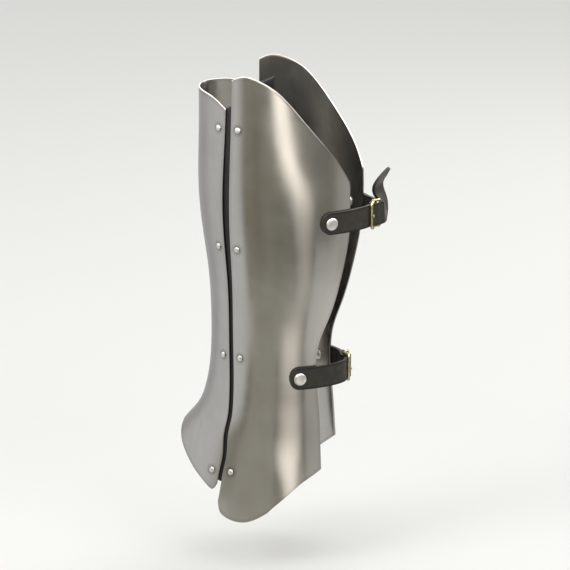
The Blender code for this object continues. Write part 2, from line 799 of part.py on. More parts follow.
def tongue_line():
    """The tongue's middle line, from its loop on the centre bar to its rest on the outer bar."""
    rest = OUTER_BAR + FIT + TONGUE_THICKNESS / 2
    loop = CENTRE_BAR + FIT / 2 + TONGUE_THICKNESS / 2
    start = (-loop * math.cos(math.radians(50)), -CENTRE_BAR_DROP + loop * math.sin(math.radians(50)))
    end = (-BUCKLE_HALF_LENGTH, rest)
    tip = (-BUCKLE_HALF_LENGTH - TONGUE_OVERHANG, rest - 0.12 * TONGUE_OVERHANG)
    return start, end, tip


def tongue(run, frame, strap_obj):
    loop = CENTRE_BAR + FIT / 2
    pivot = frame.point(0, -CENTRE_BAR_DROP)
    half = TONGUE_WIDTH / 2 * frame.up
    name = f"{run.name}_tongue"
    start, end, tip = tongue_line()
    middle = tuple((a + b) / 2 for a, b in zip(start, end))
    points = [frame.point(*p) for p in (start, middle, end, tip)]
    stations = [Station(point, frame.up) for point in points]
    arm = applied(
        ribbon(name, stations, lambda length, whole: TONGUE_WIDTH / 2, TONGUE_THICKNESS, 1, BRASS)
    )
    ring = as_cutter(bar(f"{name}_ring", pivot - half, pivot + half, loop + TONGUE_THICKNESS, 16))
    boolean(arm, ring, "UNION")
    drill((arm,), f"{name}_eye", pivot, frame.up, loop)
    crossing = frame.point(*middle)
    way = (points[2] - points[0]).normalized()
    room = math.hypot(TONGUE_WIDTH, TONGUE_THICKNESS) / 2 + TONGUE_ROOM
    drill((strap_obj,), f"{run.name}_tongue_hole", crossing, way, room, reach=0.0045)


def strap_rivets(run, frame, strap_obj, chape_obj, outer, inner):
    height = frame.height
    for part, target, plate, thickness, mirror in (
        ("strap", strap_obj, outer, STRAP_THICKNESS, False),
        ("chape", chape_obj, inner, 2 * CHAPE_THICKNESS, True),
    ):
        angle = strap_rivet_angle(run)
        grip = SHEET + STRAP_FIT + thickness
        seat = lifted(angle, height, grip)
        direction = outward(angle, height)
        if mirror:
            seat, direction = mirrored(seat), mirrored(direction)
        name = f"{run.name}_{part}_rivet"
        mesh = steel_rivet_mesh(
            name, grip, STRAP_RIVET_HEAD, STRAP_RIVET_DOME, STRAP_RIVET_SHANK, STRAP_RIVET_TAIL
        )
        rivet(name, mesh, seat, direction, 10)
        drill((target, plate), f"{name}_hole", seat, direction, STRAP_RIVET_SHANK + RIVET_FIT)


def punched_holes(run, strap_obj, stations):
    """Spare holes in the free end, one pitch apart from the hole that the tongue uses."""
    after = len(stations) - 1
    used = sum((stations[i + 1].centre - stations[i].centre).length for i in range(TONGUE_STATION))
    length = 0.0
    wanted = [used + PUNCHED_PITCH * n for n in range(1, run.spare_holes + 1)]
    for i in range(after):
        step = stations[i + 1].centre - stations[i].centre
        for number, place in enumerate(wanted, 1):
            if length <= place < length + step.length:
                point = stations[i].centre + step * ((place - length) / step.length)
                direction = step.cross(stations[i].side).normalized()
                name = f"{run.name}_spare_hole_{number}"
                drill((strap_obj,), name, point, direction, PUNCHED_HOLE, reach=2 * STRAP_THICKNESS)
        length += step.length


def closure(run, free_end, outer, inner):
    frame = BuckleFrame(run)
    strap_obj, stations = strap(run, frame, free_end)
    chape_obj = chape(run, frame)
    buckle(run, frame)
    tongue(run, frame, strap_obj)
    strap_rivets(run, frame, strap_obj, chape_obj, outer, inner)
    punched_holes(run, strap_obj, stations)


def main():
    for obj in list(bpy.data.objects):
        bpy.data.objects.remove(obj)
    for name in ("Greave", "Cutters"):
        bpy.context.scene.collection.children.link(bpy.data.collections.new(name))
    shin, outer, inner = plates()
    hinge("outer", False, shin, outer)
    hinge("inner", True, shin, inner)
    closure(UPPER, free_end_upper, outer, inner)
    closure(LOWER, free_end_lower, outer, inner)


main()
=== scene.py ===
# %% [markdown]
# # A steel greave for the left shin
# A greave guards the lower leg. This one has three steel plates: one on the shin and one on each side
# of the calf. Two strips of leather join the plates behind two narrow gaps, held by rows of small
# rivets, and two straps with centre-bar buckles close the greave behind the leg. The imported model
# gives every piece's true size and place, in metres. It is faceted, so this lesson makes each visible
# piece again, smooth and with its real finish.

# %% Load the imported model
import bisect
import math
from collections import namedtuple

import bmesh
import bpy
import numpy as np
from mathutils import Matrix, Vector, noise


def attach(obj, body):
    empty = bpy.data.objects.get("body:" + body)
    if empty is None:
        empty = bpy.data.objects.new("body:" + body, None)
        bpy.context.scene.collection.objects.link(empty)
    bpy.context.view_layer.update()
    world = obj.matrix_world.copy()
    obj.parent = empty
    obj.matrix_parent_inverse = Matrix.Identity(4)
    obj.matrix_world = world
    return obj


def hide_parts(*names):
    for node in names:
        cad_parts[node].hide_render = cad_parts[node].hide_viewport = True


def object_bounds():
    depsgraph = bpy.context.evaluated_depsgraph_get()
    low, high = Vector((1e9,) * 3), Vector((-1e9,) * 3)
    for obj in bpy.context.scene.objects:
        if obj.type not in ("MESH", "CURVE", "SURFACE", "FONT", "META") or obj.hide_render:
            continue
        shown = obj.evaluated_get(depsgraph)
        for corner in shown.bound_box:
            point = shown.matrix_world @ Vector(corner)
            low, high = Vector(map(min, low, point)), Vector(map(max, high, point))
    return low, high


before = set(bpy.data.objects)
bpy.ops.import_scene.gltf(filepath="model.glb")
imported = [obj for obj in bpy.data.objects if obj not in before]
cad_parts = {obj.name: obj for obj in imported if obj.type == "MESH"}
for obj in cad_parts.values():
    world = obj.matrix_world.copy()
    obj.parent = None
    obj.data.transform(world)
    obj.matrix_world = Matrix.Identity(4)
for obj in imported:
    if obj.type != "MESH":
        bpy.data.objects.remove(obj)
cad_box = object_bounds()
print("packed model:", len(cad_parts), "nodes, box", [tuple(round(v, 4) for v in c) for c in cad_box])

# %% [markdown]
# ## The camera
# The greave is seen from its outer side, a little from behind and a little from above. A long lens
# from three metres away keeps the plates' upright edges nearly parallel, and both ends of the greave
# equally large.

# %% Place the camera
VIEW_AZIMUTH = math.radians(12.0)  # behind the outer side, which is +X
VIEW_ELEVATION = math.radians(14.0)
VIEW_DISTANCE = 3.0
VIEW_HEIGHT = 0.515  # metres of the subject that fill the frame
AIM_BACK = 0.004  # behind the leg's axis
AIM_UP = 0.004  # above the middle of the greave
SENSOR = 36.0  # millimetres

cad_middle = (cad_box[0] + cad_box[1]) / 2
look_at = Vector((0.0, AIM_BACK, cad_middle.z + AIM_UP))
level = math.cos(VIEW_ELEVATION)
view_way = Vector((math.cos(VIEW_AZIMUTH) * level, math.sin(VIEW_AZIMUTH) * level, math.sin(VIEW_ELEVATION)))
camera = bpy.data.objects.new("camera", bpy.data.cameras.new("camera"))
camera.data.sensor_width = SENSOR
camera.data.lens = SENSOR * VIEW_DISTANCE / VIEW_HEIGHT
camera.location = look_at + VIEW_DISTANCE * view_way
camera.rotation_euler = view_way.to_track_quat("Z", "Y").to_euler()
bpy.context.scene.collection.objects.link(camera)
bpy.context.scene.camera = camera
bpy.context.scene.view_settings.view_transform = "Standard"  # keeps white cloth white and the steel crisp
print("camera lens", round(camera.data.lens), "mm")

# %% [markdown]
# ## Helpers
# Colours are picked as sRGB hex values, the way a colour picker shows them, and one function turns
# them linear. One small function adds a shader node with its settings, links and colour stops, and
# another puts a finished bmesh in the scene.


# %% Colour, node and object helpers
def linear(hex_colour):
    """An sRGB hex colour as linear RGBA."""
    channels = [int(hex_colour[i : i + 2], 16) / 255 for i in (1, 3, 5)]
    return (*(c / 12.92 if c <= 0.04045 else ((c + 0.055) / 1.055) ** 2.4 for c in channels), 1.0)


def add_node(tree, kind, inputs=None, stops=(), **settings):
    """Adds a node. An input that is given a socket is linked, and any other value is set."""
    node = tree.nodes.new(kind)
    for name, value in settings.items():
        setattr(node, name, value)
    for name, value in (inputs or {}).items():
        if isinstance(value, bpy.types.NodeSocket):
            tree.links.new(value, node.inputs[name])
        else:
            node.inputs[name].default_value = value
    for _ in stops[2:]:  # a ramp starts with two stops
        node.color_ramp.elements.new(1.0)
    for number, (position, colour) in enumerate(stops):
        node.color_ramp.elements[number].position = position
        node.color_ramp.elements[number].color = colour
    return node


def new_material(name):
    material = bpy.data.materials.new(name)
    material.use_nodes = True
    return material, material.node_tree, material.node_tree.nodes["Principled BSDF"]


def made(name, bm, material=None):
    """Makes a bmesh an object of the scene."""
    mesh = bpy.data.meshes.new(name)
    bm.to_mesh(mesh)
    bm.free()
    if material:
        mesh.materials.append(material)
    piece = bpy.data.objects.new(name, mesh)
    bpy.context.scene.collection.objects.link(piece)
    return piece


print("middle grey is", round(linear("#808080")[0], 3), "when linear")

# %% [markdown]
# ## The studio
# A plain pale floor lies a little below the greave, which stands in the air as it does when it is
# worn. Large soft lights shape the leather and the shadow on the floor.

# %% Floor and soft lights
FLOOR_DROP = 0.042  # lowest edge of the outer plate to the floor
FLOOR_SIZE = 14.0
SKY_STRENGTH = 0.92
floor_height = cad_box[0].z - FLOOR_DROP

bm = bmesh.new()
bmesh.ops.create_grid(bm, x_segments=1, y_segments=1, size=FLOOR_SIZE / 2)
bmesh.ops.translate(bm, vec=(0, 0, floor_height), verts=bm.verts)
paper, _, paper_shader = new_material("matt studio paper")
paper_shader.inputs["Base Color"].default_value = linear("#E4E4E2")
paper_shader.inputs["Roughness"].default_value = 0.9
made("floor", bm, paper)

SoftLight = namedtuple("SoftLight", "name place size watts")
SOFT_LIGHTS = (
    SoftLight("key", (1.6, -1.5, 1.9), 1.3, 19.0),
    SoftLight("fill", (1.5, 1.9, 1.1), 1.6, 10.0),
    SoftLight("top", (-0.3, 0.1, 2.4), 1.8, 10.0),
    SoftLight("back", (-1.8, 0.9, 1.2), 1.4, 8.0),
)
for row in SOFT_LIGHTS:
    light = bpy.data.lights.new(row.name, "AREA")
    light.size = row.size
    light.energy = row.watts
    lamp = bpy.data.objects.new(row.name, light)
    lamp.location = row.place
    lamp.rotation_euler = Vector(row.place).to_track_quat("Z", "Y").to_euler()
    lamp.visible_glossy = False
    bpy.context.scene.collection.objects.link(lamp)

world = bpy.data.worlds.new("studio")
world.use_nodes = True
world.node_tree.nodes["Background"].inputs["Color"].default_value = linear("#F2F2F0")
world.node_tree.nodes["Background"].inputs["Strength"].default_value = SKY_STRENGTH
bpy.context.scene.world = world
print("floor at", round(floor_height, 3), "with", len(SOFT_LIGHTS), "soft lights")

# %% [markdown]
# ## A tent for the polished steel
# Steel shows what stands round it more than it shows light, so armour is photographed inside a tent
# of grey, brown and white cloth. This tent is a wide drum that only reflections can see. The tone of
# its wall and of the cloth on its floor changes with the direction: brown cloth gives the outer side
# of the calf its dark body, and pale cloth lightens the shin and the back. Boards hang in front of
# the wall. High up, a row of lamps puts a glint on the top of each rivet. A long strip of white cloth
# gives the bright streak that slants across the bulge of the calf, and a short one, close to the
# ankle, lights the flare there.

# %% Cloth of the tent
Cloth = namedtuple("Cloth", "direction red green blue")
WALL_CLOTH = (  # in degrees round from the outer side towards the back
    Cloth(-180, 0.52, 0.52, 0.52),
    Cloth(-160, 0.56, 0.56, 0.56),
    Cloth(-130, 0.46, 0.46, 0.46),
    Cloth(-112, 0.46, 0.46, 0.46),
    Cloth(-95, 0.62, 0.62, 0.62),
    Cloth(-48, 0.68, 0.68, 0.68),
    Cloth(-43, 0.60, 0.59, 0.57),
    Cloth(-37, 0.24, 0.22, 0.18),
    Cloth(-28, 0.27, 0.24, 0.19),
    Cloth(-20, 0.20, 0.19, 0.16),
    Cloth(-10, 0.28, 0.26, 0.21),
    Cloth(2, 0.22, 0.21, 0.17),
    Cloth(40, 0.24, 0.23, 0.20),
    Cloth(64, 0.22, 0.21, 0.18),
    Cloth(76, 0.40, 0.39, 0.36),
    Cloth(110, 0.50, 0.49, 0.46),
    Cloth(122, 0.28, 0.26, 0.22),
    Cloth(180, 0.52, 0.52, 0.52),
)
FLOOR_CLOTH = (
    Cloth(-180, 0.50, 0.50, 0.49),
    Cloth(-60, 0.66, 0.66, 0.64),
    Cloth(-30, 0.54, 0.54, 0.49),
    Cloth(5, 0.42, 0.41, 0.37),
    Cloth(18, 0.42, 0.41, 0.37),
    Cloth(30, 0.56, 0.55, 0.51),
    Cloth(90, 0.85, 0.84, 0.81),
    Cloth(180, 0.50, 0.50, 0.49),
)
ROOF_TONE = (0.9, 0.9, 0.9)
print("cloths round the wall:", len(WALL_CLOTH))

# %% Boards and streaks
Board = namedtuple("Board", "name radius low high low_direction high_direction reach tone")
BOARDS = (  # radius and heights in metres, directions and half width in degrees
    Board("ankle_cloth", 0.25, -0.185, -0.062, -16, -16, 15, (0.39, 0.375, 0.33)),
    Board("heel_board", 0.49, -0.19, -0.10, 64, 64, 22, (0.50, 0.49, 0.46)),
    Board("inner_board", 0.49, -0.15, 0.50, 152, 168, 10, (1.50, 1.44, 1.34)),
    Board("lamp_board", 0.49, 0.36, 0.88, 0, 0, 180, (4.60, 4.50, 4.35)),
)
Streak = namedtuple("Streak", "height direction reach tone")
WALL_STREAK = (  # the long strip of white cloth in front of the wall, from below up
    Streak(-0.190, 36, 14, 0.62),
    Streak(-0.120, 34, 14, 0.46),
    Streak(-0.050, 30, 14, 0.62),
    Streak(0.010, 31, 15, 0.66),
    Streak(0.045, 30, 14, 1.05),
    Streak(0.075, 26, 12, 1.90),
    Streak(0.120, 15, 11, 2.20),
    Streak(0.150, 12, 11, 2.20),
    Streak(0.200, 5, 11, 2.00),
    Streak(0.340, 1, 11, 1.80),
)
ANKLE_STREAK = (  # the short one, close to the ankle
    Streak(-0.185, 24, 13, 1.20),
    Streak(-0.140, 24, 13, 1.30),
    Streak(-0.118, 21, 17, 1.55),
    Streak(-0.104, 19, 22, 1.70),
    Streak(-0.090, 21, 23, 1.25),
    Streak(-0.078, 24, 21, 0.60),
    Streak(-0.066, 28, 18, 0.34),
)
STREAKS = (("wall_streak", 0.48, WALL_STREAK), ("ankle_streak", 0.24, ANKLE_STREAK))
STREAK_COLOUR = (1.00, 0.94, 0.85)
print("boards:", len(BOARDS), "and streaks:", len(STREAKS))

# %% Tent helpers
BOARD_ROWS = 8
STREAK_ROWS = 64
ROUNDING_PASSES = 12
BRIGHTNESS = "brightness"  # the attribute that holds how brightly each vertex glows


def glowing(name, tones):
    """Cloth that glows in one tone, or in a tone for each direction."""
    material, tree, _ = new_material(name)
    tree.nodes.clear()
    glow = add_node(tree, "ShaderNodeEmission", {"Strength": 1.0})
    if isinstance(tones[0], Cloth):
        where = add_node(tree, "ShaderNodeTexCoord")
        parts = add_node(tree, "ShaderNodeSeparateXYZ", {"Vector": where.outputs["Object"]})
        y_and_x = {0: parts.outputs["Y"], 1: parts.outputs["X"]}
        turn = add_node(tree, "ShaderNodeMath", y_and_x, operation="ARCTAN2")
        circle = {"Value": turn.outputs[0], "From Min": -math.pi, "From Max": math.pi}
        share = add_node(tree, "ShaderNodeMapRange", circle)
        stops = [((row.direction + 180) / 360, (row.red, row.green, row.blue, 1.0)) for row in tones]
        ramp = add_node(tree, "ShaderNodeValToRGB", {"Fac": share.outputs[0]}, stops)
        tree.links.new(ramp.outputs["Color"], glow.inputs["Color"])
    else:
        glow.inputs["Color"].default_value = (*tones, 1.0)
        strength = add_node(tree, "ShaderNodeAttribute", attribute_name=BRIGHTNESS)
        tree.links.new(strength.outputs["Fac"], glow.inputs["Strength"])
    add_node(tree, "ShaderNodeOutputMaterial", {"Surface": glow.outputs[0]})
    return material


def hang(name, bm, material):
    """A piece of the tent, seen by reflections alone."""
    piece = made(name, bm, material)
    for seen_by in ("camera", "diffuse", "transmission", "volume_scatter", "shadow"):
        setattr(piece, f"visible_{seen_by}", False)


def arc_band(radius, rows, steps, softness=0.0):
    """A band of a drum through rows of height, middle and half width in degrees, and brightness."""
    bm = bmesh.new()
    brightness = bm.verts.layers.float.new(BRIGHTNESS)
    bmesh.ops.create_grid(bm, x_segments=steps, y_segments=len(rows) - 1, size=0.5)
    for vert in bm.verts:
        height, middle, reach, glow = rows[round((vert.co.y + 0.5) * (len(rows) - 1))]
        turn = math.radians(middle + 2 * vert.co.x * reach)
        vert[brightness] = glow * (1 - softness * (2 * vert.co.x) ** 2)
        vert.co = (radius * math.cos(turn), radius * math.sin(turn), height)
    return bm


def board_rows(board):
    """A board's rows, evenly spaced. It may lean as it rises."""
    lean = board.high_direction - board.low_direction
    shares = [i / BOARD_ROWS for i in range(BOARD_ROWS + 1)]
    return [
        (board.low + (board.high - board.low) * share, board.low_direction + lean * share, board.reach, 1.0)
        for share in shares
    ]


def streak_rows(streak):
    """A strip's rows, with its bends and changes of tone rounded off."""
    columns = np.array(streak).T
    heights = np.linspace(columns[0][0], columns[0][-1], STREAK_ROWS + 1)
    rows = np.stack([np.interp(heights, columns[0], values) for values in columns])
    for _ in range(ROUNDING_PASSES):
        rows[:, 1:-1] = (rows[:, :-2] + 2 * rows[:, 1:-1] + rows[:, 2:]) / 4
    return [tuple(row) for row in rows.T.tolist()]


print("long streak in", len(streak_rows(WALL_STREAK)), "rows")

# %% Hang the tent
TENT_RADIUS = 0.50
TENT_HEIGHT = 1.10
TENT_LIFT = 0.002  # above the paper floor
DRUM_STEPS = 96
BOARD_STEPS = 48
STREAK_STEPS = 16
STREAK_SOFTNESS = 0.85  # share of its brightness that a streak loses at its sides

tent_floor = floor_height + TENT_LIFT
tent_roof = floor_height + TENT_HEIGHT
wall = arc_band(TENT_RADIUS, ((tent_floor, 0, 180, 1.0), (tent_roof, 0, 180, 1.0)), DRUM_STEPS)
hang("tent_wall", wall, glowing("tent wall cloth", WALL_CLOTH))
for name, height, tones in (("floor", tent_floor, FLOOR_CLOTH), ("roof", tent_roof, ROOF_TONE)):
    disc = bmesh.new()
    bmesh.ops.create_circle(disc, cap_ends=True, segments=DRUM_STEPS, radius=TENT_RADIUS)
    bmesh.ops.translate(disc, vec=(0, 0, height), verts=disc.verts)
    brightness = disc.verts.layers.float.new(BRIGHTNESS)
    for vert in disc.verts:
        vert[brightness] = 1.0
    hang(f"tent_{name}", disc, glowing(f"tent {name} cloth", tones))
for row in BOARDS:
    hang(row.name, arc_band(row.radius, board_rows(row), BOARD_STEPS), glowing(row.name, row.tone))
for name, radius, streak in STREAKS:
    band = arc_band(radius, streak_rows(streak), STREAK_STEPS, STREAK_SOFTNESS)
    hang(name, band, glowing(name, STREAK_COLOUR))
print("tent from", round(tent_floor, 3), "to", round(tent_roof, 3))

# %% [markdown]
# ## Satin steel
# The plates are mild sheet steel, planished over a stake, ground along their length and polished to a
# satin sheen. Bare steel is a metal with a grey reflection, and the fine grind gives a roughness near
# 0.2. Three patterns break it up: grinding marks that run up the leg, drawn 0.8 mm wide so that they
# show, bands 6 mm wide that the grinding wheel left, and cloudy patches 25 mm across, where hands and
# oil have left it duller. The rim of each plate is a little darker. A soft ring of painted shade round
# each rivet stands for the rivet's contact shadow and its dark reflection in the steel.


# %% Steel material
GRIND_MARK = 0.0008
GRIND_LENGTH = 0.030
WHEEL_BAND = 0.006
WHEEL_LENGTH = 0.12
OIL_CLOUD = 0.025
RIM_WIDTH = 4.5  # millimetres
GRIND_DEPTH = 0.0002
RIM_MM = "rim_mm"  # the attribute that holds each vertex's distance to the rim
PAINTED_RIVET_SHADE = "painted_rivet_shade"  # the attribute that holds how much painted shade each vertex gets round the rivets


def satin_steel():
    material, tree, steel = new_material("satin ground mild steel")
    where = add_node(tree, "ShaderNodeTexCoord").outputs["Object"]
    fine = {"Vector": where, "Scale": (1 / GRIND_MARK, 1 / GRIND_MARK, 1 / GRIND_LENGTH)}
    fine_place = add_node(tree, "ShaderNodeMapping", fine).outputs[0]
    grain = {"Vector": fine_place, "Scale": 1.0, "Detail": 3.0, "Roughness": 0.6}
    marks = add_node(tree, "ShaderNodeTexNoise", grain).outputs["Fac"]
    broad = {"Vector": where, "Scale": (1 / WHEEL_BAND, 1 / WHEEL_BAND, 1 / WHEEL_LENGTH)}
    broad_place = add_node(tree, "ShaderNodeMapping", broad).outputs[0]
    swathes = {"Vector": broad_place, "Scale": 1.0, "Detail": 2.0}
    bands = add_node(tree, "ShaderNodeTexNoise", swathes).outputs["Fac"]
    patches = {"Vector": where, "Scale": 1 / OIL_CLOUD, "Detail": 4.0, "Roughness": 0.55, "Distortion": 0.4}
    clouds = add_node(tree, "ShaderNodeTexNoise", patches).outputs["Fac"]

    tones = ((0.36, linear("#C6C4C0")), (0.66, linear("#D0CFCC")))
    body = add_node(tree, "ShaderNodeValToRGB", {"Fac": clouds}, tones).outputs["Color"]
    banded = {"Factor": bands, "A": body, "B": linear("#C6C4BF")}
    colour = add_node(tree, "ShaderNodeMix", banded, data_type="RGBA").outputs["Result"]
    rim = add_node(tree, "ShaderNodeAttribute", attribute_name=RIM_MM).outputs["Fac"]
    fade = {"Value": rim, "From Min": 0.4, "From Max": RIM_WIDTH, "To Min": 0.45, "To Max": 0.0}
    near_rim = add_node(tree, "ShaderNodeMapRange", fade).outputs[0]
    dulled = {"Factor": near_rim, "A": colour, "B": linear("#A5A19A")}
    colour = add_node(tree, "ShaderNodeMix", dulled, data_type="RGBA").outputs["Result"]
    # painted shade round the rivets: the steel is darkened where each rivet's contact shadow and dark
    # reflection would fall
    rivet_shade = add_node(tree, "ShaderNodeAttribute", attribute_name=PAINTED_RIVET_SHADE).outputs["Fac"]
    darkened = {"Factor": rivet_shade, "A": colour, "B": linear("#6A655C")}
    colour = add_node(tree, "ShaderNodeMix", darkened, data_type="RGBA").outputs["Result"]
    tree.links.new(colour, steel.inputs["Base Color"])

    oiled = {"Value": clouds, "From Min": 0.3, "From Max": 0.7, "To Min": 0.16, "To Max": 0.21}
    gloss = add_node(tree, "ShaderNodeMapRange", oiled).outputs[0]
    ground = {0: marks, 1: 0.04, 2: gloss}
    roughness = add_node(tree, "ShaderNodeMath", ground, operation="MULTIPLY_ADD").outputs[0]
    tree.links.new(roughness, steel.inputs["Roughness"])
    scratched = {"Height": marks, "Strength": 0.03, "Distance": GRIND_DEPTH}
    tree.links.new(add_node(tree, "ShaderNodeBump", scratched).outputs[0], steel.inputs["Normal"])
    steel.inputs["Metallic"].default_value = 1.0
    return material


steel_material = satin_steel()
print("material:", steel_material.name)

# %% [markdown]
# ## Rivets, brass and leather
# The rivets are bright drawn steel, their heads dinted by the hammer. The buckles are cast yellow
# brass, pale and rubbed, with darker metal left in the casting's pits. The straps are leather tanned
# with bark, dyed dark brown and waxed. Their edges are burnished black, and a ruled line runs beside
# each edge. Wax fills the pores, so the leather shines softly where it has been rubbed. The strips
# behind the gaps are black.


# %% Rivet and buckle materials
HAMMER_DINT = 0.0012
CASTING_PIT = 0.0016
PIT_DEPTH = 0.0001


def worn_metal(name, dark, bright, roughness, pit):
    """Metal that is darker and duller in its dints or pits, which are this wide."""
    material, tree, metal = new_material(name)
    where = add_node(tree, "ShaderNodeTexCoord").outputs["Object"]
    pits = {"Vector": where, "Scale": 1 / pit, "Detail": 3.0}
    spots = add_node(tree, "ShaderNodeTexNoise", pits).outputs["Fac"]
    tones = ((0.34, linear(dark)), (0.60, linear(bright)))
    tone = add_node(tree, "ShaderNodeValToRGB", {"Fac": spots}, tones).outputs["Color"]
    tree.links.new(tone, metal.inputs["Base Color"])
    rubbed = {"Value": spots, "To Min": roughness + 0.12, "To Max": roughness - 0.06}
    tree.links.new(add_node(tree, "ShaderNodeMapRange", rubbed).outputs[0], metal.inputs["Roughness"])
    dinted = {"Height": spots, "Strength": 0.35, "Distance": PIT_DEPTH}
    tree.links.new(add_node(tree, "ShaderNodeBump", dinted).outputs[0], metal.inputs["Normal"])
    metal.inputs["Metallic"].default_value = 1.0
    return material


rivet_material = worn_metal("bright hammered steel", "#E0DFDC", "#F8F7F5", 0.38, HAMMER_DINT)
brass_material = worn_metal("pale cast brass", "#A99D72", "#E2D8B2", 0.32, CASTING_PIT)
print("materials:", rivet_material.name, "|", brass_material.name)

# %% Leather material
LEATHER_PORE = 0.0011
LEATHER_CREASE = 0.007
PORE_DEPTH = 0.0002
CREASE_DEPTH = 0.0008
RULED_DEPTH = 0.0003


def waxed_leather(name, dark, body, rubbed, burnished):
    """Leather whose UV map runs along the strap in strap widths, and from 0 to 1 across it."""
    material, tree, leather = new_material(name)
    where = add_node(tree, "ShaderNodeTexCoord").outputs
    cells = {"Vector": where["Object"], "Scale": 1 / LEATHER_PORE, "Randomness": 1.0}
    pores = add_node(tree, "ShaderNodeTexVoronoi", cells).outputs["Distance"]
    folds = {"Vector": where["Object"], "Scale": 1 / LEATHER_CREASE, "Detail": 5.0, "Distortion": 0.6}
    creases = add_node(tree, "ShaderNodeTexNoise", folds).outputs["Fac"]
    across = add_node(tree, "ShaderNodeSeparateXYZ", {"Vector": where["UV"]}).outputs["Y"]
    off_centre = add_node(tree, "ShaderNodeMath", {0: across, 1: 0.5}, operation="SUBTRACT").outputs[0]
    to_side = add_node(tree, "ShaderNodeMath", {0: off_centre}, operation="ABSOLUTE").outputs[0]

    tones = ((0.28, linear(dark)), (0.52, linear(body)), (0.80, linear(rubbed)))
    tone = add_node(tree, "ShaderNodeValToRGB", {"Fac": creases}, tones).outputs["Color"]
    blackened = {"Value": to_side, "From Min": 0.36, "From Max": 0.46}
    edge = add_node(tree, "ShaderNodeMapRange", blackened).outputs[0]
    finish = {"Factor": edge, "A": tone, "B": linear(burnished)}
    colour = add_node(tree, "ShaderNodeMix", finish, data_type="RGBA").outputs["Result"]
    tree.links.new(colour, leather.inputs["Base Color"])
    waxed = {"Value": creases, "To Min": 0.62, "To Max": 0.42}
    tree.links.new(add_node(tree, "ShaderNodeMapRange", waxed).outputs[0], leather.inputs["Roughness"])

    beside_edge = {"Value": to_side, "From Min": 0.385, "From Max": 0.405}
    line = add_node(tree, "ShaderNodeMapRange", beside_edge).outputs[0]
    groove = add_node(tree, "ShaderNodeMath", {0: line, 1: 0.5, 2: 0.5}, operation="PINGPONG").outputs[0]
    fine = {"Height": pores, "Strength": 0.35, "Distance": PORE_DEPTH}
    normal = add_node(tree, "ShaderNodeBump", fine).outputs[0]
    broad = {"Height": creases, "Strength": 0.5, "Distance": CREASE_DEPTH, "Normal": normal}
    normal = add_node(tree, "ShaderNodeBump", broad).outputs[0]
    ruled = {"Height": groove, "Strength": 0.6, "Distance": RULED_DEPTH, "Normal": normal}
    normal = add_node(tree, "ShaderNodeBump", ruled, invert=True).outputs[0]
    tree.links.new(normal, leather.inputs["Normal"])
    return material


strap_material = waxed_leather("waxed dark brown leather", "#1F1C16", "#28251D", "#353126", "#0D0B08")
hinge_material = waxed_leather("black leather", "#090909", "#0E0E0D", "#161514", "#060606")
print("materials:", strap_material.name, "|", hinge_material.name)

# %% [markdown]
# ## The form of the leg
# Every plate lies on one smooth surface, the form that the armourer beats the steel to. At each
# height it is an oval with its own half width, front depth and rear depth. A few heights are enough,
# because a natural spline runs smoothly between them. The shares multiply the sizes at the calf.

# %% Sizes and tables
GREAVE_HEIGHT = 0.409  # lowest edge of the outer plate to the top of the side plates
SEAT_HEIGHT = 0.150  # lowest edge up to the narrow level above the ankle, where Z is 0
CALF_HALF_WIDTH = 0.0645
CALF_FRONT_DEPTH = 0.0725
CALF_REAR_DEPTH = 0.079
WIDEST_GAP = 0.0075
SHEET = 0.0012

Section = namedtuple("Section", "height half_width front rear")
SECTIONS = (
    Section(0.000, 0.899, 1.614, 0.785),
    Section(0.073, 0.860, 1.524, 0.759),
    Section(0.147, 0.814, 1.361, 0.728),
    Section(0.191, 0.783, 1.234, 0.709),
    Section(0.227, 0.760, 1.062, 0.696),
    Section(0.269, 0.744, 0.951, 0.684),
    Section(0.318, 0.736, 0.891, 0.684),
    Section(0.379, 0.752, 0.861, 0.709),
    Section(0.465, 0.814, 0.858, 0.785),
    Section(0.550, 0.891, 0.886, 0.880),
    Section(0.636, 0.961, 0.952, 0.962),
    Section(0.733, 1.000, 1.004, 1.000),
    Section(0.856, 0.984, 1.000, 0.975),
    Section(1.000, 0.938, 1.000, 0.886),
)
Seam = namedtuple("Seam", "height angle gap")
SEAMS = (  # middle of the gap in degrees from the shin, and its width as a share of WIDEST_GAP
    Seam(0.000, 63.0, 0.50),
    Seam(0.037, 64.5, 0.50),
    Seam(0.073, 65.1, 0.50),
    Seam(0.110, 65.2, 0.50),
    Seam(0.147, 65.3, 0.52),
    Seam(0.205, 62.1, 0.54),
    Seam(0.257, 58.8, 0.56),
    Seam(0.318, 56.0, 0.60),
    Seam(0.379, 54.4, 0.62),
    Seam(0.489, 55.2, 0.66),
    Seam(0.611, 57.3, 0.88),
    Seam(0.733, 59.3, 1.00),
    Seam(0.883, 61.0, 0.85),
    Seam(1.000, 62.0, 0.75),
)
RearEdge = namedtuple("RearEdge", "height angle")
REAR_EDGE = (
    RearEdge(0.000, 139.0),
    RearEdge(0.147, 139.3),
    RearEdge(0.257, 139.3),
    RearEdge(0.342, 135.8),
    RearEdge(0.403, 136.6),
    RearEdge(0.465, 145.0),
    RearEdge(0.555, 150.6),
    RearEdge(0.641, 152.0),
    RearEdge(0.733, 150.8),
    RearEdge(1.000, 150.0),
)
print("form tables:", len(SECTIONS), "sections")


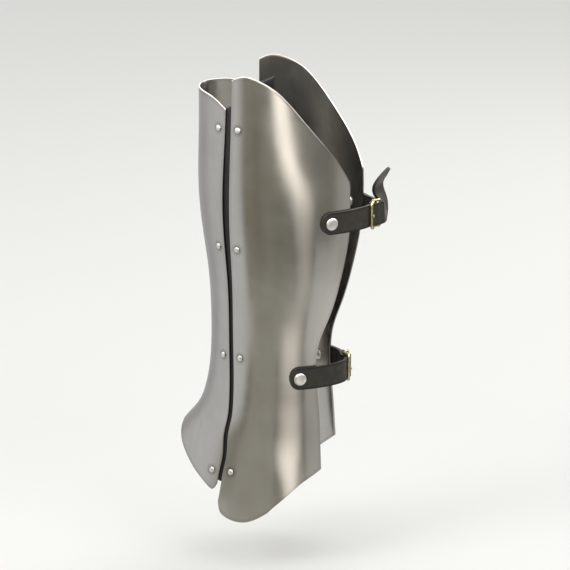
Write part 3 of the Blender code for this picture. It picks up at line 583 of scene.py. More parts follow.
# %% The form as a surface
class Curve:
    """A natural cubic spline through a table's rows."""

    def __init__(self, places, values):
        steps = np.diff(places)
        slopes = np.diff(values) / steps
        matrix = np.eye(len(places))
        right = np.zeros(len(places))
        for i in range(1, len(places) - 1):
            matrix[i, i - 1 : i + 2] = steps[i - 1], 2 * (steps[i - 1] + steps[i]), steps[i]
            right[i] = 6 * (slopes[i] - slopes[i - 1])
        self.places = [float(place) for place in places]
        self.values = [float(value) for value in values]
        self.bends = np.linalg.solve(matrix, right).tolist()

    def at(self, place):
        place = min(max(place, self.places[0]), self.places[-1])
        i = min(max(bisect.bisect_left(self.places, place) - 1, 0), len(self.places) - 2)
        step = self.places[i + 1] - self.places[i]
        before = (self.places[i + 1] - place) / step
        after = 1 - before
        bend = (before**3 - before) * self.bends[i] + (after**3 - after) * self.bends[i + 1]
        return before * self.values[i] + after * self.values[i + 1] + bend * step**2 / 6


def column(rows, name):
    return Curve([row[0] for row in rows], [getattr(row, name) for row in rows])


HALF_WIDTH = column(SECTIONS, "half_width")
FRONT = column(SECTIONS, "front")
REAR = column(SECTIONS, "rear")
SEAM_ANGLE = column(SEAMS, "angle")
SEAM_GAP = column(SEAMS, "gap")
REAR_ANGLE = column(REAR_EDGE, "angle")


def half_width(height):
    return CALF_HALF_WIDTH * HALF_WIDTH.at(height / GREAVE_HEIGHT)


def depth(height, angle):
    if math.cos(angle) > 0:
        return CALF_FRONT_DEPTH * FRONT.at(height / GREAVE_HEIGHT)
    return CALF_REAR_DEPTH * REAR.at(height / GREAVE_HEIGHT)


def form(angle, height):
    """A point on the steel's inner face. The angle starts at the shin, the height at the foot."""
    x = half_width(height) * math.sin(angle)
    y = -depth(height, angle) * math.cos(angle)
    return Vector((x, y, height - SEAT_HEIGHT))


def rise(angle, height):
    step = GREAVE_HEIGHT / 1000
    return (form(angle, height + step) - form(angle, height - step)).normalized()


def outward(angle, height):
    step = math.radians(0.1)
    return (form(angle + step, height) - form(angle - step, height)).cross(rise(angle, height)).normalized()


def lifted(angle, height, lift):
    return form(angle, height) + lift * outward(angle, height)


def turned(angle, height, arc):
    """The angle that lies this arc length round the form from another angle."""
    speed = math.hypot(half_width(height) * math.cos(angle), depth(height, angle) * math.sin(angle))
    return angle + arc / speed


def seam(height):
    return math.radians(SEAM_ANGLE.at(height / GREAVE_HEIGHT))


def half_gap(height):
    return WIDEST_GAP * SEAM_GAP.at(height / GREAVE_HEIGHT) / 2


def shin_edge(height):
    return turned(seam(height), height, -half_gap(height))


def side_front_edge(height):
    return turned(seam(height), height, half_gap(height))


def side_rear_edge(height):
    return math.radians(REAR_ANGLE.at(height / GREAVE_HEIGHT))


def mirrored(point):
    return Vector((-point.x, point.y, point.z))


print("calf is", round(2000 * half_width(0.733 * GREAVE_HEIGHT)), "mm wide inside")

# %% [markdown]
# ## Cutting the plates
# The outlines say how high each plate's top and foot are, against how far across the plate. A plate
# is a grid whose rows run from its foot to its top, so its cells follow the outline. `Solidify` gives
# the sheet its 1.2 mm and a small bevel breaks the cut edges, which then catch the light. Planishing
# leaves the sheet very slightly wavy, and less than two tenths of a millimetre is enough to make the
# reflections waver.

# %% Outline tables
EdgePoint = namedtuple("EdgePoint", "across height")
SHIN_TOP = (EdgePoint(0.0, 0.958), EdgePoint(0.5, 0.954), EdgePoint(0.85, 0.941), EdgePoint(1.0, 0.925))
SHIN_FOOT = (
    EdgePoint(0.000, 0.196),
    EdgePoint(0.155, 0.190),
    EdgePoint(0.310, 0.174),
    EdgePoint(0.460, 0.152),
    EdgePoint(0.625, 0.126),
    EdgePoint(0.750, 0.104),
    EdgePoint(0.860, 0.084),
    EdgePoint(0.940, 0.069),
    EdgePoint(0.980, 0.070),
    EdgePoint(1.000, 0.081),
)
SIDE_TOP = (
    EdgePoint(0.00, 0.990),
    EdgePoint(0.10, 1.000),
    EdgePoint(0.25, 0.992),
    EdgePoint(0.40, 0.969),
    EdgePoint(0.52, 0.936),
    EdgePoint(0.66, 0.889),
    EdgePoint(0.80, 0.843),
    EdgePoint(0.90, 0.808),
    EdgePoint(1.00, 0.765),
)
OUTER_FOOT = (
    EdgePoint(0.000, 0.042),
    EdgePoint(0.020, 0.025),
    EdgePoint(0.050, 0.013),
    EdgePoint(0.114, 0.003),
    EdgePoint(0.200, 0.000),
    EdgePoint(0.280, 0.011),
    EdgePoint(0.336, 0.025),
    EdgePoint(0.450, 0.047),
    EdgePoint(0.545, 0.063),
    EdgePoint(0.710, 0.089),
    EdgePoint(0.850, 0.104),
    EdgePoint(1.000, 0.118),
)
INNER_FOOT = (
    EdgePoint(0.000, 0.073),
    EdgePoint(0.020, 0.056),
    EdgePoint(0.050, 0.044),
    EdgePoint(0.114, 0.035),
    EdgePoint(0.190, 0.033),
    EdgePoint(0.270, 0.039),
    EdgePoint(0.336, 0.050),
    EdgePoint(0.450, 0.069),
    EdgePoint(0.545, 0.086),
    EdgePoint(0.710, 0.112),
    EdgePoint(0.850, 0.130),
    EdgePoint(1.000, 0.147),
)
HINGE_TOP = (EdgePoint(0.0, 0.915), EdgePoint(1.0, 0.950))
HINGE_FOOT = (EdgePoint(0.0, 0.097), EdgePoint(1.0, 0.076))
print("outline tables ready")

# %% [markdown]
# Three small functions do the sheet work for steel and leather alike: one lays a grid on a surface,
# one gives it a wall with softened edges, and one turns the result into a plain mesh, so that holes
# can be cut in a known order.


# %% Sheet helpers
CUT_EDGE = 50  # degrees between two faces from which the edge is a cut one
SHARP_EDGE = 40  # degrees from which the shading doesn't run on round the edge


def show(name, bm, material, node):
    """Makes the piece's object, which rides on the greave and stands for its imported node."""
    piece = made(name, bm, material)
    piece.data.shade_smooth()
    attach(piece, "root")
    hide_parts(node)
    return piece


def walled(piece, thickness, offset, softness, segments=2):
    """Gives a sheet its thickness, on the side that offset says, and softens its cut edges."""
    wall = piece.modifiers.new("wall", "SOLIDIFY")
    wall.thickness = thickness
    wall.offset = offset
    soft = piece.modifiers.new("soft edges", "BEVEL")
    soft.width = softness
    soft.segments = segments
    soft.limit_method = "ANGLE"
    soft.angle_limit = math.radians(CUT_EDGE)
    return piece


def finished(piece):
    """Turns the piece's modifiers into its mesh and marks its hard edges."""
    graph = bpy.context.evaluated_depsgraph_get()
    mesh = bpy.data.meshes.new_from_object(piece.evaluated_get(graph))
    piece.modifiers.clear()
    piece.data = mesh
    mesh.set_sharp_from_angle(angle=math.radians(SHARP_EDGE))
    return piece


def laid_grid(columns, rows, place):
    """A grid on the surface place(across, along), with each vertex's distance to the rim in millimetres."""
    bm = bmesh.new()
    uv = bm.loops.layers.uv.new("UVMap")
    rim = bm.verts.layers.float.new(RIM_MM)
    bmesh.ops.create_grid(bm, x_segments=columns, y_segments=rows, size=0.5)
    share, grid = {}, {}
    for vert in bm.verts:
        across, along = vert.co.x + 0.5, vert.co.y + 0.5
        share[vert] = (along, across)
        vert.co = place(across, along)
        grid[round(across * columns), round(along * rows)] = vert
    for (i, j), vert in grid.items():
        ends = grid[0, j], grid[columns, j], grid[i, 0], grid[i, rows]
        vert[rim] = 1000 * min((end.co - vert.co).length for end in ends)
    for face in bm.faces:
        for loop in face.loops:
            loop[uv].uv = share[loop.vert]
    return bm


print("edges are softened from", CUT_EDGE, "degrees")

# %% Plates
ROW_BIAS = 1.2  # the rows crowd towards the flared foot
COLUMN_BIAS = 1.35  # the columns of a plate crowd towards its gaps
PLATE_ROWS = 190
PLATE_EDGE = 0.00035  # how far the cut edges are softened
PLANISH_WAVE = 0.022
PLANISH_STRETCH = 0.3  # the waves run up the leg
PLANISH_DEPTH = 0.00016

shin_foot, shin_top, side_top = (column(t, "height") for t in (SHIN_FOOT, SHIN_TOP, SIDE_TOP))
outer_foot, inner_foot = (column(t, "height") for t in (OUTER_FOOT, INNER_FOOT))


def planished(angle, height):
    """The form with the faint waves that the hammer leaves."""
    point = form(angle, height)
    wave = noise.noise(Vector((point.x, point.y, PLANISH_STRETCH * point.z)) / PLANISH_WAVE)
    return point + PLANISH_DEPTH * wave * outward(angle, height)


def shin_place(across, along):
    side = 2 * across - 1
    side = math.copysign(1 - (1 - abs(side)) ** COLUMN_BIAS, side)
    foot, top = GREAVE_HEIGHT * shin_foot.at(abs(side)), GREAVE_HEIGHT * shin_top.at(abs(side))
    height = foot + along**ROW_BIAS * (top - foot)
    return planished(side * shin_edge(height), height)


def side_place(foot_curve, mirror):
    def place(across, along):
        share = (1 - across if mirror else across) ** COLUMN_BIAS
        foot, top = GREAVE_HEIGHT * foot_curve.at(share), GREAVE_HEIGHT * side_top.at(share)
        height = foot + along**ROW_BIAS * (top - foot)
        front = side_front_edge(height)
        point = planished(front + share * (side_rear_edge(height) - front), height)
        return mirrored(point) if mirror else point

    return place


Plate = namedtuple("Plate", "node place columns")
PLATES = (
    Plate("shin_plate", shin_place, 72),
    Plate("outer_plate", side_place(outer_foot, False), 68),
    Plate("inner_plate", side_place(inner_foot, True), 68),
)
steel_sheets = []
for plate in PLATES:
    bm = laid_grid(plate.columns, PLATE_ROWS, plate.place)
    steel_sheet = show(f"{plate.node}_steel", bm, steel_material, plate.node)
    walled(steel_sheet, SHEET, 1.0, PLATE_EDGE)
    steel_sheets.append(steel_sheet)
    print(steel_sheet.name, "cells", plate.columns * PLATE_ROWS)

# %% [markdown]
# ## Hinge leathers
# A strip of thick leather lies behind each gap and lets the greave open for the leg. Only a narrow
# black line of it shows between the plates, and its full width can be seen from inside.

# %% Hinge leathers
LAYER_GAP = 0.00045  # clearance between steel and leather
HINGE_LEATHER = 0.0025
HINGE_HALF_WIDTH = 0.0165
HINGE_EDGE = 0.0006
HINGE_COLUMNS = 14
HINGE_ROWS = 150
hinge_top, hinge_foot = column(HINGE_TOP, "height"), column(HINGE_FOOT, "height")


def hinge_place(mirror):
    def place(across, along):
        share = 1 - across if mirror else across
        foot, top = GREAVE_HEIGHT * hinge_foot.at(share), GREAVE_HEIGHT * hinge_top.at(share)
        height = foot + along**ROW_BIAS * (top - foot)
        angle = turned(seam(height), height, (2 * share - 1) * HINGE_HALF_WIDTH)
        point = lifted(angle, height, -LAYER_GAP)
        return mirrored(point) if mirror else point

    return place


for side, mirror in (("outer", False), ("inner", True)):
    bm = laid_grid(HINGE_COLUMNS, HINGE_ROWS, hinge_place(mirror))
    strip = show(f"{side}_hinge_strip", bm, hinge_material, f"{side}_hinge_leather")
    walled(strip, HINGE_LEATHER, -1.0, HINGE_EDGE, 3)
    print(strip.name, "cells", HINGE_COLUMNS * HINGE_ROWS)

# %% [markdown]
# ## Rivets
# A rivet is a turned shape: a domed head, a shank through the work and a tail spread flat behind it.
# Its profile is drawn once and spun round its axis, then moved to its place along the edge of the
# plate.

# %% Rivet helper
RIVET_FIT = 0.00025
TIGHTEST_BEND = 0.040
TAIL_THICKNESS = 0.0009
RIVET_LIP = 0.22  # height of the head's upright lip, as a share of its dome
DOME_STEPS = 8
SPIN_STEPS = 28
RivetSize = namedtuple("RivetSize", "head dome shank tail")  # radii, but for the height of the dome
HINGE_RIVET = RivetSize(0.0026, 0.0013, 0.0013, 0.0034)
STRAP_RIVET = RivetSize(0.0057, 0.0022, 0.0018, 0.0044)
rivet_seats = []


def rivet(node, size, grip, seat, way):
    """Spins a rivet's profile and sets it with its head on seat, pointing along way."""
    below = -grip - 2 * RIVET_FIT - size.tail**2 / (2 * TIGHTEST_BEND)
    lip = RIVET_LIP * size.dome
    profile = [(0.0, size.dome)]
    for step in range(1, DOME_STEPS + 1):
        turn = math.radians(90 * step / DOME_STEPS)
        profile.append((size.head * math.sin(turn), lip + (size.dome - lip) * math.cos(turn)))
    # the shares round off the rim of the head and of the flattened tail
    profile += [(0.985 * size.head, 0.3 * lip), (0.93 * size.head, 0.0), (size.shank, 0.0)]
    profile += [(size.shank, below), (0.96 * size.tail, below), (size.tail, below - 0.3 * TAIL_THICKNESS)]
    profile += [(0.9 * size.tail, below - 0.9 * TAIL_THICKNESS), (0.0, below - TAIL_THICKNESS)]
    bm = bmesh.new()
    verts = [bm.verts.new((radius, 0, height)) for radius, height in profile]
    edges = [bm.edges.new(pair) for pair in zip(verts, verts[1:])]
    once_round = {"cent": (0, 0, 0), "axis": (0, 0, 1), "angle": 2 * math.pi, "steps": SPIN_STEPS}
    bmesh.ops.spin(bm, geom=verts + edges, use_merge=True, **once_round)
    bmesh.ops.remove_doubles(bm, verts=bm.verts, dist=0.02 * RIVET_FIT)
    bmesh.ops.recalc_face_normals(bm, faces=bm.faces)
    stand = way.to_track_quat("Z", "Y").to_matrix().to_4x4()
    bmesh.ops.transform(bm, matrix=Matrix.Translation(seat + RIVET_FIT * way) @ stand, verts=bm.verts)
    rivet_seats.append((seat.copy(), size.head))
    piece = show(f"{node}_turned", bm, rivet_material, node)
    piece.data.set_sharp_from_angle(angle=math.radians(CUT_EDGE))


print("rivet heads", round(2000 * HINGE_RIVET.head, 1), "and", round(2000 * STRAP_RIVET.head, 1), "mm wide")

# %% Hinge rivets
HINGE_RIVET_INSET = 0.0075
HINGE_RIVET_HEIGHTS = (0.883, 0.619, 0.367, 0.110)
for side, mirror in (("outer", False), ("inner", True)):
    for number, share in enumerate(HINGE_RIVET_HEIGHTS, 1):
        height = share * GREAVE_HEIGHT
        for row, edge, toward in (("front", shin_edge, -1), ("side", side_front_edge, 1)):
            angle = turned(edge(height), height, toward * HINGE_RIVET_INSET)
            seat, way = lifted(angle, height, SHEET), outward(angle, height)
            if mirror:
                seat, way = mirrored(seat), mirrored(way)
            grip = SHEET + LAYER_GAP + HINGE_LEATHER
            rivet(f"{side}_rivet_{row}_{number}", HINGE_RIVET, grip, seat, way)
print("hinge rivets:", 4 * len(HINGE_RIVET_HEIGHTS))

# %% [markdown]
# ## The path of a strap
# A strap is riveted to the outer plate, runs round behind the leg and weaves through its buckle:
# under the near bar and over the centre bar. The lower strap then goes under the far bar, and the
# upper one lies loose over it. The buckle sets the directions there: along the strap, out from the
# leg and up. The path is a chain of stations, each with its middle and its sideways direction.

# %% Strap sizes and buckle places
STRAP_WIDTH = 0.020
STRAP_THICKNESS = 0.0024
STRAP_FIT = 0.0006  # clearance over the domed steel
CHAPE_THICKNESS = 0.0016  # one layer of the fold
STRAP_END_RADIUS = 0.0088  # strap rivet to the strap's round end
TIP_TAPER = 0.022
TIP_HALF_WIDTH = 0.0016
BUCKLE_HALF_LENGTH = 0.0095  # centre bar to outer bar
OUTER_BAR = 0.0013  # radius
CENTRE_BAR = 0.0012  # radius
CENTRE_BAR_DROP = 0.0032
BUCKLE_SIDE_ROOM = 0.0004  # between the strap's edge and the rail
BUCKLE_CORNER = 0.0030
FIT = 0.0003

StrapRun = namedtuple("StrapRun", "name height buckle_x standoff tilt rivet_inset spare_holes tucked")
UPPER = StrapRun("upper", 0.682, 0.0020, 0.0094, 13.0, 0.0209, 0, False)
LOWER = StrapRun("lower", 0.328, -0.0100, 0.0063, -14.0, 0.0160, 2, True)
FreePoint = namedtuple("FreePoint", "along out up")
UPPER_FREE_END = (  # from the buckle's far bar, in strap widths
    FreePoint(0.18, -0.03, 0.00),
    FreePoint(0.35, -0.12, 0.06),
    FreePoint(0.50, -0.20, 0.20),
    FreePoint(0.58, -0.31, 0.47),
    FreePoint(0.56, -0.46, 0.78),
    FreePoint(0.52, -0.49, 1.08),
    FreePoint(0.50, -0.29, 1.47),
    FreePoint(0.55, 0.04, 1.92),
)
HangPoint = namedtuple("HangPoint", "past_edge drop lift")
LOWER_FREE_END = (  # degrees round from the inner plate's edge, drop and lift in strap widths
    HangPoint(0.0, 0.28, 0.03),
    HangPoint(12.0, 0.60, 0.03),
    HangPoint(25.0, 0.97, 0.03),
    HangPoint(38.0, 1.34, 0.02),
    HangPoint(50.0, 1.68, 0.00),
    HangPoint(62.0, 2.00, 0.04),
)
Station = namedtuple("Station", "centre side")


class BuckleAxes:
    """The buckle's own directions: along the strap towards its tip, out from the leg, and up."""

    def __init__(self, run):
        self.height = run.height * GREAVE_HEIGHT
        rear = depth(self.height, math.pi)
        self.centre = Vector((run.buckle_x, rear + run.standoff, self.height - SEAT_HEIGHT))
        tilt = math.radians(run.tilt)
        self.along = Vector((-math.cos(tilt), math.sin(tilt), 0))
        self.out = Vector((math.sin(tilt), math.cos(tilt), 0))
        self.up = Vector((0, 0, 1))

    def point(self, along, out, up=0.0):
        return self.centre + along * self.along + out * self.out + up * self.up


for run in (UPPER, LOWER):
    print(run.name, "buckle", round(1000 * run.height * GREAVE_HEIGHT), "mm above the lowest edge")


# %% Path helpers
EASING_PASSES = 60


def arc_points(centre, radius, start, end, count):
    """Points on an arc in the buckle's plane, start and end in degrees from the strap's direction."""
    angles = [math.radians(start + (end - start) * i / (count - 1)) for i in range(count)]
    return [(centre[0] + radius * math.cos(a), centre[1] + radius * math.sin(a)) for a in angles]


def hermite(start, start_way, end, end_way, count):
    """Points inside a smooth curve from start to end, without its two ends."""
    reach = (end - start).length
    points = []
    for i in range(1, count + 1):
        t = i / (count + 1)
        points.append(
            (2 * t**3 - 3 * t**2 + 1) * start
            + (t**3 - 2 * t**2 + t) * reach * start_way
            + (3 * t**2 - 2 * t**3) * end
            + (t**3 - t**2) * reach * end_way
        )
    return points


def smoothed(points, count):
    """A smooth curve through a few chosen points, in count steps of equal length."""
    lengths = [0.0]
    for first, second in zip(points, points[1:]):
        lengths.append(lengths[-1] + (second - first).length)
    axes = [Curve(lengths, [point[i] for point in points]) for i in range(3)]
    return [Vector([axis.at(lengths[-1] * i / count) for axis in axes]) for i in range(count + 1)]


def stations_of(points, outs):
    """Stations whose side lies square to the path and to the given outward directions."""
    stations = []
    for i, point in enumerate(points):
        way = points[min(i + 1, len(points) - 1)] - points[max(i - 1, 0)]
        stations.append(Station(point, outs[i].cross(way).normalized()))
    return stations


def eased(stations):
    """The same path with its sideways directions evened out, so that a bend on edge doesn't fold."""
    sides = [station.side for station in stations]
    for _ in range(EASING_PASSES):
        inner = [(a + 2 * b + c).normalized() for a, b, c in zip(sides, sides[1:], sides[2:])]
        sides = [sides[0], *inner, sides[-1]]
    return [Station(station.centre, side) for station, side in zip(stations, sides)]


print("evening out takes", EASING_PASSES, "passes")


# %% Path through the buckle and over the plate
SHORT_ARC_POINTS = 8  # round an outer bar
LONG_ARC_POINTS = 17  # over the centre bar
ROUND_END_STEPS = 12
SEATED_STEPS = 14
NARROWEST = 0.012  # keeps the very end of a strap from closing to a point


def weave(tucked):
    """The strap's middle line: under the near bar, over the centre bar, and under or over the far bar."""
    hump = CENTRE_BAR + FIT + CHAPE_THICKNESS + FIT + STRAP_THICKNESS / 2
    dip = OUTER_BAR + FIT + STRAP_THICKNESS / 2
    apart = math.hypot(BUCKLE_HALF_LENGTH, CENTRE_BAR_DROP)
    slope = math.degrees(math.asin(min((hump + dip) / apart, 1)) - math.asin(CENTRE_BAR_DROP / apart))
    near, centre, far = (-BUCKLE_HALF_LENGTH, 0), (0, -CENTRE_BAR_DROP), (BUCKLE_HALF_LENGTH, 0)
    enter = arc_points(near, dip, -90, -90 + slope, SHORT_ARC_POINTS)
    if tucked:
        over = arc_points(centre, hump, 90 + slope, 90 - slope, LONG_ARC_POINTS)
        leave = arc_points(far, dip, -90 - slope, -90, SHORT_ARC_POINTS)
    else:
        climb = math.degrees(math.asin(CENTRE_BAR_DROP / apart) - math.asin((hump - dip) / apart))
        over = arc_points(centre, hump, 90 + slope, 90 + climb, LONG_ARC_POINTS)
        leave = arc_points(far, dip, 90 + climb, 90, SHORT_ARC_POINTS)
    return enter + over + leave


def strap_rivet_angle(run):
    height = run.height * GREAVE_HEIGHT
    return turned(side_rear_edge(height), height, -run.rivet_inset)


def on_plate(run, way, lift):
    """Stations over a side plate, from a strap's round end to the rear edge. way is -1 on the inner side."""
    height = run.height * GREAVE_HEIGHT
    start = way * strap_rivet_angle(run)
    edge = way * side_rear_edge(height)
    angles = []
    for step in range(ROUND_END_STEPS):
        share = math.cos(math.radians(90 * step / ROUND_END_STEPS))
        angles.append(turned(start, height, -way * share * STRAP_END_RADIUS))
    angles += [start + (edge - start) * i / SEATED_STEPS for i in range(SEATED_STEPS + 1)]
    return [Station(lifted(angle, height, lift), rise(angle, height)) for angle in angles]


def round_end(length):
    """Half width of a strap at a length from its round end."""
    short = max(STRAP_END_RADIUS - length, 0) / STRAP_END_RADIUS
    return STRAP_WIDTH / 2 * math.sqrt(max(1 - short**2, NARROWEST))


def strap_outline(length, whole):
    """Round at the rivet and pointed at the tip."""
    taper = min((whole - length) / TIP_TAPER, 1)
    pointed = TIP_HALF_WIDTH + (STRAP_WIDTH / 2 - TIP_HALF_WIDTH) * math.sin(taper * math.pi / 2)
    return min(round_end(length), pointed)


print("points through a buckle:", len(weave(True)))


# %% [markdown]
# ## Ribbons of leather
# A ribbon is a grid laid along the stations. Its UV map runs across it from 0 to 1 and along it in
# strap widths, so the burnished edges and the ruled line beside them follow the strap wherever it
# bends.


# %% Ribbon and hole helpers
def ribbon(name, stations, outline, thickness, softness, material, node, columns=14):
    """A strap along the stations. outline gives its half width at a length of the whole."""
    lengths = [0.0]
    for first, second in zip(stations, stations[1:]):
        lengths.append(lengths[-1] + (second.centre - first.centre).length)
    bm = bmesh.new()
    uv = bm.loops.layers.uv.new("UVMap")
    bmesh.ops.create_grid(bm, x_segments=len(stations) - 1, y_segments=columns, size=0.5)
    share = {}
    for vert in bm.verts:
        i = round((vert.co.x + 0.5) * (len(stations) - 1))
        across = 2 * vert.co.y
        half = outline(lengths[i], lengths[-1])
        share[vert] = (lengths[i] / STRAP_WIDTH, 0.5 + across * half / STRAP_WIDTH)
        vert.co = stations[i].centre + across * half * stations[i].side
    for face in bm.faces:
        for loop in face.loops:
            loop[uv].uv = share[loop.vert]
    piece = show(name, bm, material, node)
    return walled(piece, thickness, 0.0, softness, 3)


def rod(start, end, radius, sides=28):
    """A cylinder between two points, as a bmesh."""
    bm = bmesh.new()
    size = {"radius1": radius, "radius2": radius, "depth": (end - start).length}
    bmesh.ops.create_cone(bm, cap_ends=True, segments=sides, **size)
    turn = (end - start).to_track_quat("Z", "Y").to_matrix().to_4x4()
    bmesh.ops.transform(bm, matrix=Matrix.Translation((start + end) / 2) @ turn, verts=bm.verts)
    return bm


def combine(piece, bm, operation):
    """Cuts a shape away from the piece, or joins it on."""
    tool = made("tool", bm)
    change = piece.modifiers.new(operation.lower(), "BOOLEAN")
    change.operation = operation
    change.object = tool
    change.solver = "EXACT"
    finished(piece)
    bpy.data.objects.remove(tool)


def punch(piece, point, way, radius, reach):
    combine(piece, rod(point - reach * way, point + reach * way, radius), "DIFFERENCE")


print("straps are", round(1000 * STRAP_WIDTH), "mm wide and", round(1000 * STRAP_THICKNESS, 1), "mm thick")

# %% [markdown]
# ## Straps
# The upper strap's free end has sprung up behind the calf, as a stiff new strap does. The lower one
# lies over the leather that holds its buckle and droops across the inner plate. Its spare holes stand
# 19 mm apart.


# %% Free ends
UPPER_END_STEPS = 44
LOWER_END_STEPS = 60


def free_end_upper(axes):
    over = OUTER_BAR + FIT + STRAP_THICKNESS / 2
    points = [axes.point(BUCKLE_HALF_LENGTH, over)]
    for row in UPPER_FREE_END:
        along = BUCKLE_HALF_LENGTH + row.along * STRAP_WIDTH
        points.append(axes.point(along, row.out * STRAP_WIDTH + over, row.up * STRAP_WIDTH))
    path = smoothed(points, UPPER_END_STEPS)
    return stations_of(path, [axes.out] * len(path))[1:]


def free_end_lower(axes):
    height = axes.height
    edge = -side_rear_edge(height)
    stacked = SHEET + STRAP_FIT + 2 * CHAPE_THICKNESS + FIT + STRAP_THICKNESS / 2
    points, outs = [], []
    for row in LOWER_FREE_END:
        angle = edge + math.radians(row.past_edge)
        low = height - row.drop * STRAP_WIDTH
        points.append(lifted(angle, low, stacked + row.lift * STRAP_WIDTH))
        outs.append(outward(angle, low))
    start = axes.point(BUCKLE_HALF_LENGTH, -(OUTER_BAR + FIT + STRAP_THICKNESS / 2))
    arrive_way = (points[1] - points[0]).normalized()
    points = [start] + hermite(start, axes.along, points[0], arrive_way, 2) + points
    outs = [axes.out] + hermite(axes.out, Vector(), outs[0], Vector(), 2) + outs
    return stations_of(smoothed(points, LOWER_END_STEPS), smoothed(outs, LOWER_END_STEPS))[1:]


print("free ends:", len(UPPER_FREE_END), "and", len(LOWER_FREE_END), "chosen points")


# %% Straps, with their holes
PUNCHED_HOLE = 0.0018  # radius
PUNCHED_PITCH = 0.019
STRAP_EDGE = 0.00055
STRAP_BRIDGE_POINTS = 26
TONGUE_STATION = 10  # stations from the start of the weave to the tongue's hole


def strap_stations(run, axes, free_end):
    seated = on_plate(run, 1, SHEET + STRAP_FIT + STRAP_THICKNESS / 2)
    through = [axes.point(along, out) for along, out in weave(run.tucked)]
    leave_way = (seated[-1].centre - seated[-2].centre).normalized()
    bridge = hermite(seated[-1].centre, leave_way, through[0], axes.along, STRAP_BRIDGE_POINTS)
    middle = [Station(point, axes.up) for point in bridge + through]
    return eased(seated + middle + free_end(axes)), len(seated) + len(bridge)


def strap(run, axes, free_end):
    stations, weave_start = strap_stations(run, axes, free_end)
    piece = ribbon(
        f"{run.name}_strap_leather",
        stations,
        strap_outline,
        STRAP_THICKNESS,
        STRAP_EDGE,
        strap_material,
        f"{run.name}_strap",
    )
    finished(piece)
    to_tongue = stations[: weave_start + TONGUE_STATION + 1]
    walked = sum((second.centre - first.centre).length for first, second in zip(to_tongue, to_tongue[1:]))
    holes = [walked + PUNCHED_PITCH * number for number in range(1, run.spare_holes + 1)]
    length = 0.0
    for first, second in zip(stations, stations[1:]):
        step = second.centre - first.centre
        for hole in holes:
            if length <= hole < length + step.length:
                point = first.centre + step * ((hole - length) / step.length)
                way = step.cross(first.side).normalized()
                punch(piece, point, way, PUNCHED_HOLE, 2 * STRAP_THICKNESS)
        length += step.length
    print(piece.name, round(1000 * length), "mm long")
    return piece


# %% [markdown]
# ## Chapes
# The chape is the short piece of leather that holds the buckle. It is folded round the centre bar,
# slotted where the tongue stands, and both layers are riveted to the inner plate. Made as one long
# ribbon that runs out, round the bar and back, it shows its two layers at the edges as a folded strap
# does.


# %% Chape
CHAPE_EDGE = 0.0004
CHAPE_BRIDGE_POINTS = 20
FOLD_POINTS = 22
FOLD_ROOM = 0.00004  # keeps the two layers of a fold apart
TONGUE_THICKNESS = 0.0015
TONGUE_WIDTH = 0.0022
TONGUE_ROOM = 0.0004


def tangent_angle(point, centre, radius, side):
    """The direction, in degrees, at which a line from point touches a circle."""
    across, out = point[0] - centre[0], point[1] - centre[1]
    return math.degrees(math.atan2(out, across) + side * math.acos(radius / math.hypot(across, out)))


def chape_layer(axes, out, lift):
    """One layer's stations from the far outer bar of the buckle to the chape's round end."""
    seated = on_plate(run, -1, lift)[::-1]
    start = axes.point(BUCKLE_HALF_LENGTH, out)
    arrive_way = (seated[1].centre - seated[0].centre).normalized()
    bridge = hermite(start, axes.along, seated[0].centre, arrive_way, CHAPE_BRIDGE_POINTS)
    return [Station(point, axes.up) for point in [start] + bridge] + seated


def chape(run, axes):
    base = SHEET + STRAP_FIT
    middle = -(OUTER_BAR + FIT + STRAP_THICKNESS + FIT + CHAPE_THICKNESS)
    outer_out, inner_out = middle + CHAPE_THICKNESS / 2, middle - CHAPE_THICKNESS / 2
    pivot = (0, -CENTRE_BAR_DROP)
    radius = CENTRE_BAR + FIT + CHAPE_THICKNESS / 2
    start = tangent_angle((BUCKLE_HALF_LENGTH, outer_out), pivot, radius, 1)
    end = 360 + tangent_angle((BUCKLE_HALF_LENGTH, inner_out), pivot, radius, -1)
    fold = [axes.point(along, out) for along, out in arc_points(pivot, radius, start, end, FOLD_POINTS)]
    upper_layer = chape_layer(axes, outer_out, base + 1.5 * CHAPE_THICKNESS)
    lower_layer = chape_layer(axes, inner_out, base + 0.5 * CHAPE_THICKNESS)
    stations = upper_layer[::-1] + [Station(point, axes.up) for point in fold] + lower_layer
    piece = ribbon(
        f"{run.name}_chape_leather",
        stations,
        lambda length, whole: min(round_end(length), round_end(whole - length)),
        CHAPE_THICKNESS - FOLD_ROOM,
        CHAPE_EDGE,
        strap_material,
        f"{run.name}_chape",
    )
    finished(piece)
    slot = bmesh.new()
    bmesh.ops.create_cube(slot, size=1.0)
    reach = CENTRE_BAR + FIT + CHAPE_THICKNESS
    box = (3 * reach + FIT, 3.2 * reach, TONGUE_WIDTH + 2 * TONGUE_ROOM)  # well through both layers
    bmesh.ops.scale(slot, vec=box, verts=slot.verts)
    turn = Matrix((-axes.along, axes.out, axes.up)).transposed().to_4x4()
    slot_middle = axes.point((FIT - reach) / 2, -CENTRE_BAR_DROP)
    bmesh.ops.transform(slot, matrix=Matrix.Translation(slot_middle) @ turn, verts=slot.verts)
    bmesh.ops.recalc_face_normals(slot, faces=slot.faces)
    combine(piece, slot, "DIFFERENCE")
    print(piece.name, "folded round the bar")


# %% [markdown]
# ## Buckles and tongues
# The frame is a round bar bent to a rectangle with rounded corners, whose rails dip to the centre bar
# so that the strap passes through almost flat. The tongue loops round the centre bar, stands up
# through the strap and rests on the near outer bar.


# %% Buckle
CORNER_STEPS = 8
RAIL_STEPS = 12


